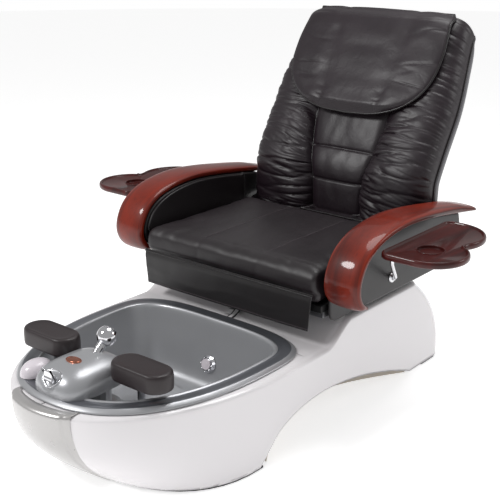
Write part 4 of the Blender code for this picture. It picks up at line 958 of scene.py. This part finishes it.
for side, sign in (("left", 1), ("right", -1)):
    line = arm(side, sign)
    core = inner_line(line, 0.0248)
    outline = [point for point in core if point[1] > 0.392 and point[0] < 0.655][::3]
    outline = [(outline[0][0] + 0.002, 0.388)] + outline
    bottom = [(0.655 - (0.655 - outline[0][0]) * i / 30, 0.386) for i in range(31)]
    x_low, x_high = sorted((sign * 0.3600, sign * 0.4545))
    panel = cushioned_plate(f"arm_panel_leather_{side}", outline + bottom[:-1], x_low, x_high, 0.0,
                            PANEL_LEATHER)
    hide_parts(f"arm_panel_{side}")
    outline = [(0.070, 0.320), (0.066, 0.36), (0.064, 0.41), (0.062, 0.452)]
    outline += [(y + 0.004, z - 0.004) for y, z in core if z > 0.466 and y < 0.530][::3]
    outline += [(0.538, 0.570), (0.5385, 0.50), (0.5385, 0.43), (0.536, 0.330)]
    outline += [(0.530 - 0.440 * i / 20, 0.3185) for i in range(20)]
    x_low, x_high = sorted((sign * 0.3485, sign * 0.3585))
    cushion_side = cushioned_plate(f"seat_side_leather_{side}", outline, x_low, x_high, 0.0, PANEL_LEATHER)
    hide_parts(f"seat_side_{side}")


# ---------------------------------------------------------------- side trays
# Dark cherry trays with a rounded red rim, a heart-shaped notch between the two lobes, a recessed
# floor and a cup ring, each on a bent chrome tube with a flange on the arm panel.

# Cherry stained darker.
CHERRY_DARK = lacquered_wood("cherry_dark_lacquered", "2c0604", "500d08")

def tray_outline():
    return (arc((0.515, 0.130), 0.030, 180, 270, 10) + arc((0.595, 0.205), 0.105, -90, 62, 34)
            + arc((0.660, 0.3070), 0.0150, 236, 178, 6)
            + arc((0.540, 0.375), 0.120, -26, 90, 26) + arc((0.515, 0.465), 0.030, 90, 180, 10))


def inset_outline(points, amount):
    moved = []
    for i, (x, y) in enumerate(points):
        before, after = points[i - 1], points[(i + 1) % len(points)]
        run = Vector((after[0] - before[0], after[1] - before[1])).normalized()
        moved.append((x - run.y * amount, y + run.x * amount))
    return moved


TRAY_LOW, TRAY_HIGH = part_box("tray_left")
CUP = (0.580, 0.225)
for side, sign in (("left", 1), ("right", -1)):
    body = f"side_tray_{side}"
    outline = tray_outline()
    bottom, top = TRAY_LOW.z, TRAY_HIGH.z
    stages = [(0.0100, bottom), (0.0040, bottom + 0.0006), (0.0008, bottom + 0.0035),
              (0.0000, bottom + 0.0080),
              (0.0002, bottom + 0.0130), (0.0014, top - 0.0030), (0.0036, top - 0.0008), (0.0060, top),
              (0.0082, top - 0.0010), (0.0096, top - 0.0035), (0.0106, top - 0.0058), (0.0124, top - 0.0066)]
    rings = [[(sign * x, y, z) for x, y in inset_outline(outline, amount)] for amount, z in stages]
    edit = skin(rings)
    uv = edit.loops.layers.uv.new("grain")
    for face in edit.faces:
        for loop in face.loops:
            loop[uv].uv = (loop.vert.co.y + 0.3 * sign, loop.vert.co.x)
    tray = new_piece(f"tray_cherry_{side}", edit, CHERRY_DARK, body, smooth=50)
    cutter = bmesh.new()
    profile = [(0.0, 0.0), (0.0355, 0.0), (0.0372, 0.0006), (0.038, 0.0024), (0.038, 0.03), (0.0, 0.03)]
    line = [cutter.verts.new((r, 0.0, z)) for r, z in profile]
    edges = [cutter.edges.new(pair) for pair in zip(line, line[1:])]
    bmesh.ops.spin(cutter, geom=edges + line, cent=(0, 0, 0), axis=(0, 0, 1), angle=2 * math.pi, steps=64,
                   use_merge=True)
    bmesh.ops.remove_doubles(cutter, verts=cutter.verts, dist=0.00002)
    bmesh.ops.recalc_face_normals(cutter, faces=cutter.faces)
    bmesh.ops.translate(cutter, vec=(sign * CUP[0], CUP[1], bottom + 0.0045), verts=cutter.verts)
    mesh = bpy.data.meshes.new("cup_cutter")
    cutter.to_mesh(mesh)
    cutter.free()
    tool = bpy.data.objects.new("cup_cutter", mesh)
    bpy.context.scene.collection.objects.link(tool)
    add_modifier(tray, "BOOLEAN", operation="DIFFERENCE", object=tool)
    bpy.context.view_layer.update()
    cut_mesh = bpy.data.meshes.new_from_object(tray.evaluated_get(bpy.context.evaluated_depsgraph_get()))
    tray.modifiers.clear()
    tray.data = cut_mesh
    bpy.data.objects.remove(tool)
    add_modifier(tray, "BEVEL", width=0.0010, segments=2, limit_method="ANGLE", angle_limit=math.radians(50))
    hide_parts(f"tray_{side}")
    ring = [(sign * (CUP[0] + 0.0395 * math.cos(a)), CUP[1] + 0.0395 * math.sin(a), top - 0.0064)
            for a in [2 * math.pi * i / 56 for i in range(56)]]
    tube(f"tray_cup_ring_{side}", ring, 0.0014, CHERRY_DARK, body, closed=True)
    route = [(0.4553, 0.235, 0.436), (0.466, 0.231, 0.438), (0.476, 0.217, 0.449), (0.506, 0.148, 0.506),
             (0.513, 0.134, 0.519), (0.515, 0.130, 0.5345)]
    points = [(sign * x, y, z) for x, y, z in curve_through(route, 48)]
    bent = tube(f"tray_bracket_tube_{side}", points, 0.0060, CHROME, "seat")
    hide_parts(f"tray_tube_{side}")
    edit = bmesh.new()
    flat = Vector((sign, 0, 0)).to_track_quat("Z", "Y").to_matrix().to_4x4()
    bmesh.ops.create_cone(edit, cap_ends=True, segments=40, radius1=0.0165, radius2=0.0150, depth=0.0035,
                          matrix=Matrix.Translation((sign * 0.4572, 0.235, 0.436)) @ flat)
    bmesh.ops.create_cone(edit, cap_ends=True, segments=40, radius1=0.0090, radius2=0.0080, depth=0.0070,
                          matrix=Matrix.Translation((sign * 0.4620, 0.235, 0.436)) @ flat)
    bmesh.ops.create_cone(edit, cap_ends=True, segments=40, radius1=0.0085, radius2=0.0120, depth=0.0060,
                          matrix=Matrix.Translation((sign * 0.515, 0.130, 0.5312)))
    flange = new_piece(f"tray_bracket_flanges_{side}", edit, CHROME, "seat", smooth=30)
    add_modifier(flange, "BEVEL", width=0.0007, segments=2, limit_method="ANGLE",
                 angle_limit=math.radians(50))


# ---------------------------------------------------------------- back rest: pad
# One sewn cover over two side bolsters and a lower centre panel. The bolsters are ruched: their
# leather gathers in near-level wrinkles at both seams. Two cross seams divide the centre panel.

# Softer leather than the seat's, so its creases show more.
BACK_LEATHER = leather("back_leather_black_brown", "130a10", "1f131b", rough=0.42, soft_crease=0.22)
PIPING = 0.0035             # radius of the piping cord inside its leather

BACK_FACE = [(0.556, 0.462), (0.557, 0.560), (0.567, 0.640), (0.612, 0.728), (0.668, 0.818),
             (0.722, 0.905), (0.780, 0.998), (0.832, 1.078), (0.872, 1.118)]
PAD_HALF, PAD_TOP_HALF, PAD_DEPTH = 0.350, 0.318, 0.085
SHELL_HALF, SHELL_DEPTH = 0.353, 0.178
FACE_POINTS = curve_through(BACK_FACE, 401)
FACE_LENGTH = sum(math.dist(a, b) for a, b in zip(FACE_POINTS, FACE_POINTS[1:]))


def face_frame(t):
    """Point on the back rest's face at t from foot (0) to crest (1), and its forward normal."""
    place = min(max(t, 0.0), 1.0) * 400
    i = min(int(place), 399)
    a, b = Vector(FACE_POINTS[i]), Vector(FACE_POINTS[i + 1])
    j, k = max(i - 6, 0), min(i + 7, 400)
    run = (Vector(FACE_POINTS[k]) - Vector(FACE_POINTS[j])).normalized()
    point = a + (b - a) * (place - i) + run * (t - min(max(t, 0.0), 1.0)) * FACE_LENGTH
    return point, Vector((-run.y, run.x))


def pad_half(t, full=PAD_HALF, top=PAD_TOP_HALF):
    """Half width up the back, drawn in towards the top."""
    return full - (full - top) * smooth_step(t, 0.55, 1.0) - 0.008 * smooth_step(t, 0.975, 1.0) ** 2


def seam_half(t):
    """Half width of the centre panel."""
    return 0.098 + 0.044 * smooth_step(t, 0.08, 0.50) - 0.004 * smooth_step(t, 0.55, 0.75)


def wrinkle(x, length, amount, seed):
    """Ruched leather: sharp creases between soft ridges, running nearly level."""
    warp = 0.35 * ripple((x, length, 0), (5, 7, 1), seed)
    drift = length * 31 + x * 2.4 + warp * 2.4
    fine = noise.noise(Vector((x * 6.0 + seed, drift, 0.3)))
    broad = noise.noise(Vector((x * 3.5 - seed, length * 12 + warp * 2, 1.7)))
    small = noise.noise(Vector((x * 9.0 - seed, drift * 1.9 + x * 4.0, 5.1)))
    crease = -max(0.0, 1 - abs(fine) * 3.6) ** 1.6 - 0.45 * max(0.0, 1 - abs(small) * 3.4) ** 1.6
    return amount * (1.15 * crease + 0.75 * broad + 0.35 * fine)


def pad_rows():
    levels, rows = 250, []
    for k in range(-9, levels + 1):
        t = k / levels
        point, normal = face_frame(t)
        half, seam, length = pad_half(t), seam_half(t), t * FACE_LENGTH
        lumbar = 1 - smooth_step(t, 0.28, 0.62)
        recess = 0.014 + 0.026 * lumbar
        foot_roll = 0.006 * (1 - smooth_step(t, 0.0, 0.02))
        crest_roll = 0.008 * (1 - math.sqrt(1 - smooth_step(t, 0.93, 1.0) ** 2 * 0.96))
        row = []
        for side in (1, -1):
            part = []
            crown = seam + (half - seam) * 0.46
            for i in range(27):
                a = math.radians(90 * i / 26)
                x = crown + (half - crown) * math.sin(a) ** 0.88
                out = -PAD_DEPTH + (PAD_DEPTH + 0.006) * max(math.cos(a), 0.0) ** 0.62
                edge = 0.45 + 0.75 * smooth_step(i / 26, 0.45, 0.9) * (1 - smooth_step(i / 26, 0.93, 1.0))
                out += wrinkle(x * side, length, 0.0070 * edge,
                               4.0 * side) * (1 - smooth_step(i / 26, 0.9, 1.0))
                part.append((x, out))
            inner = []
            for i in range(1, 19):
                s = i / 18
                x = crown + (seam - crown) * s
                out = 0.006 - (recess + 0.016) * (1 - math.sqrt(max(1 - s ** 2.6, 0.0)))
                out += wrinkle(x * side, length, 0.0074 * (0.5 + 0.6 * s) * (1 - smooth_step(s, 0.93,
                                                                                             1.0)),
                                                                                             4.0 * side)
                inner.append((x, out))
            part = part[::-1] + inner
            row += [(side * x, out) for x, out in (part if side == 1 else part[::-1])]
            if side == 1:
                for i in range(1, 30):
                    s = 1 - 2 * i / 30
                    x = seam * s
                    puff = (1 - abs(s) ** 3.2) ** 0.5
                    height = point.y
                    cross = sum(math.exp(-((height - level) / 0.0035) ** 2) + 0.45
                                * math.exp(-((height - level) / 0.016) ** 2)
                                for level in (0.576, 0.700))
                    pucker = 0.0018 * ripple((x, 0, height), (30, 1, 14),
                                             2.0) + 0.0022 * ripple((x, 0, height), (11, 1, 9), 9.0)
                    out = 0.006 - recess - 0.016 + 0.016 * puff - 0.0055 * cross + pucker
                    row.append((x, out))
        ring = []
        for x, out in row:
            if t < 0.02:
                out = max(out, -0.012 - 0.073 * smooth_step(t, 0.0, 0.02))
            place = point + normal * (out - (foot_roll + crest_roll) * (1 + out / PAD_DEPTH))
            ring.append((x, place.x, place.y))
        rows.append(ring)
    return rows


def close_behind(rows):
    """Close a front sheet with a flat back, so that it is one solid."""
    rings = []
    for k, ring in enumerate(rows):
        _, normal = face_frame(k / (len(rows) - 1))
        first, last = ring[0], ring[-1]
        back = [(first[0] + (last[0] - first[0]) * i / 6, first[1], first[2]) for i in range(1, 6)]
        rings.append(ring + back[::-1])
    return rings


pad = new_piece("back_cushion_leather", skin(close_behind(pad_rows())), BACK_LEATHER, "back",
                smooth=85)
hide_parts("back_pad")

for name, sign in (("left", 1), ("right", -1)):
    line = []
    for k in range(90):
        t = 0.02 + 0.95 * k / 89
        point, normal = face_frame(t)
        place = point - normal * (PAD_DEPTH + 0.001)
        line.append((sign * (pad_half(t) + 0.0005), place.x, place.y))
    tube(f"back_edge_piping_{name}", line, PIPING, PIPING_LEATHER, "back")
    seam = []
    for k in range(80):
        t = 0.03 + 0.62 * k / 79
        point, normal = face_frame(t)
        lumbar = 1 - smooth_step(t, 0.28, 0.62)
        place = point + normal * (0.006 - 0.014 - 0.026 * lumbar - 0.0165)
        seam.append((sign * seam_half(t), place.x, place.y))
    tube(f"back_centre_seam_{name}", seam, 0.0022, PIPING_LEATHER, "back")


# ---------------------------------------------------------------- back rest: head flap
# A loose pillow sewn along the crest, hanging over the face: U-shaped, piped round its edge, with
# two seams that draw together downwards.

FLAP_TOP, FLAP_FOOT = 1.0, 0.4783


def flap_half(t):
    drop = min(max((t - FLAP_FOOT) / (1 - FLAP_FOOT), 0.0), 1.0)
    u_shape = (1 - (1 - min(drop / 0.58, 1.0)) ** 2.5) ** (1 / 2.5)
    crest = 1 - 0.045 * smooth_step(t, 0.80, 0.97) - 0.04 * smooth_step(t, 0.965, 1.0) ** 2
    return 0.287 * u_shape * crest


rings = []
levels = 120
for k in range(levels + 1):
    t = FLAP_FOOT + (1 - FLAP_FOOT) * (k / levels) ** 1.5
    drop = (t - FLAP_FOOT) / (1 - FLAP_FOOT)
    half = max(flap_half(t), 0.004)
    point, normal = face_frame(t)
    ring = []
    base = 0.0105 - 0.020 * smooth_step(t, 0.93, 1.0)
    for i in range(96):
        a = 2 * math.pi * i / 96
        x = half * math.copysign(abs(math.cos(a)) ** 0.55, math.cos(a))
        inside = max(1 - (abs(x) / half) ** 4, 0.0) ** 0.5 * min(smooth_step(drop, -0.01, 0.10), 1.0)
        rise = math.sin(a)
        if rise > 0:
            seam = sum(math.exp(-((abs(x) - (0.108 + 0.036 * drop)) / w) ** 2) * d for w,
                       d in ((0.0035, 0.0028), (0.022, 0.0038)))
            soft = 0.0040 * ripple((x, drop, 0), (6, 5, 1), 12.0) + 0.0022 * ripple((x, drop, 0),
                                                                                    (16, 9, 1), 5.0)
            side_fold = -0.0045 * max(0.0, 1 - abs(noise.noise(Vector((x * 5, drop * 9, 4.4))))
                                      * 5) ** 2 * smooth_step(abs(x), 0.13, 0.22)
            out = base + 0.006 + (0.0185 + soft + side_fold) * inside - seam * inside
        else:
            out = base + 0.002 - 0.001 * inside
        place = point + normal * out
        ring.append((x, place.x, place.y))
    rings.append(ring)
flap = new_piece("head_flap_leather", skin(rings), BACK_LEATHER, "head_pad", smooth=80)
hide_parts("head_flap")
edge = []
for k in range(90):
    t = 1 - (1 - FLAP_FOOT) * k / 89
    point, normal = face_frame(t)
    base = 0.0105 - 0.020 * smooth_step(t, 0.93, 1.0)
    place = point + normal * (base + 0.004)
    edge.append((flap_half(t), place.x, place.y))
edge = [point for point in edge if point[0] > 0.02] + [(0.0, edge[-1][1], edge[-1][2])]
edge = edge + [(-x, y, z) for x, y, z in reversed(edge[:-1])]
tube("head_flap_piping", edge, 0.0042, PIPING_LEATHER, "head_pad")
crest, normal = face_frame(1.0)
crest -= normal * 0.003
tube("head_flap_hinge_seam", [(0.262 * (i / 20 - 1), crest.x, crest.y) for i in range(41)], 0.0085,
     PIPING_LEATHER,
     "back")


# ---------------------------------------------------------------- back rest: rear shell
# A smooth dark grey moulding: a rounded dish that closes the back from behind, deepest at the middle.

# Moulded ABS with a satin gloss.
SHELL_GREY = moulded("back_shell_dark_grey", "37343b", 0.34, flake=0.02)

rows = []
for k in range(61):
    t = k / 60
    point, normal = face_frame(t)
    half = pad_half(t, SHELL_HALF, PAD_TOP_HALF + 0.002)
    close = smooth_step(t, 0.80, 1.0)
    front = PAD_DEPTH + 0.0015
    rear = front + (SHELL_DEPTH - front) * math.sqrt(max(1 - close ** 2, 0.06))
    row = []
    for i in range(81):
        a = math.pi * i / 80
        x = half * math.copysign(abs(math.cos(a)) ** 0.42, math.cos(a))
        depth = front + (rear - front) * math.sin(a) ** 0.72
        place = point - normal * depth
        row.append((x, place.x, place.y))
    rows.append(row)
edit = skin(rows, closed=False, caps=False)
if sum(face.normal.y * face.calc_area() for face in edit.faces) < 0:
    bmesh.ops.reverse_faces(edit, faces=edit.faces)
shell = new_piece("back_shell_moulding", edit, SHELL_GREY, "back", smooth=80)
add_modifier(shell, "SOLIDIFY", thickness=0.0035, offset=-1.0)
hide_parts("back_shell")


# ---------------------------------------------------------------- floor, light and camera
# A plain white studio floor, a large soft key from the front left, a weak fill, a bright surround.

floor = bpy.data.meshes.new("studio_floor")
edit = bmesh.new()
bmesh.ops.create_grid(edit, x_segments=1, y_segments=1, size=30)
edit.to_mesh(floor)
edit.free()
floor_material, _, _ = new_material("studio_floor_white", Base_Color=hex_colour("e2e2e2"), Roughness=0.9,
                                    Emission_Color=(1, 1, 1, 1), Emission_Strength=0.62)
floor.materials.append(floor_material)
floor_piece = bpy.data.objects.new("studio_floor", floor)
floor_piece.location.z = -0.0004
bpy.context.scene.collection.objects.link(floor_piece)

world = bpy.data.worlds.new("studio")
world.use_nodes = True
world.node_tree.nodes["Background"].inputs["Color"].default_value = (1, 1, 1, 1)
world.node_tree.nodes["Background"].inputs["Strength"].default_value = 0.42
bpy.context.scene.world = world

backdrop = bmesh.new()
bmesh.ops.create_uvsphere(backdrop, u_segments=48, v_segments=24, radius=14)
backdrop_mesh = bpy.data.meshes.new("studio_backdrop")
backdrop.to_mesh(backdrop_mesh)
backdrop.free()
backdrop_material, _, _ = new_material("studio_backdrop_white", Base_Color=(0, 0, 0, 1),
                                       Specular_IOR_Level=0.0,
                                       Emission_Color=(1, 1, 1, 1), Emission_Strength=1.0)
backdrop_mesh.materials.append(backdrop_material)
backdrop_piece = bpy.data.objects.new("studio_backdrop", backdrop_mesh)
for ray in ("diffuse", "glossy", "transmission", "volume_scatter", "shadow"):
    setattr(backdrop_piece, f"visible_{ray}", False)
bpy.context.scene.collection.objects.link(backdrop_piece)


def soft_light(name, place, target, size, power):
    light = bpy.data.lights.new(name, "AREA")
    light.shape, light.size, light.energy = "DISK", size, power
    lamp = bpy.data.objects.new(name, light)
    lamp.location = place
    lamp.rotation_euler = (Vector(target) - Vector(place)).to_track_quat("-Z", "Y").to_euler()
    bpy.context.scene.collection.objects.link(lamp)


soft_light("key", (-1.4, -2.5, 3.0), (0, 0, 0.4), 1.0, 72)
soft_light("top", (0.2, 0.9, 3.2), (0, 0, 0.4), 1.8, 42)
soft_light("rim", (2.6, 2.4, 2.0), (0, 0.6, 0.7), 1.2, 15)

camera = bpy.data.cameras.new("camera")
camera.lens, camera.sensor_width = 70.7, 36.0
view = bpy.data.objects.new("camera", camera)
view.location = (1.8349, -2.085, 1.42)
view.rotation_euler = (math.radians(90 - 18.67), 0, math.radians(39.5))
bpy.context.scene.collection.objects.link(view)
bpy.context.scene.camera = view
bpy.context.scene.view_settings.view_transform = "Standard"
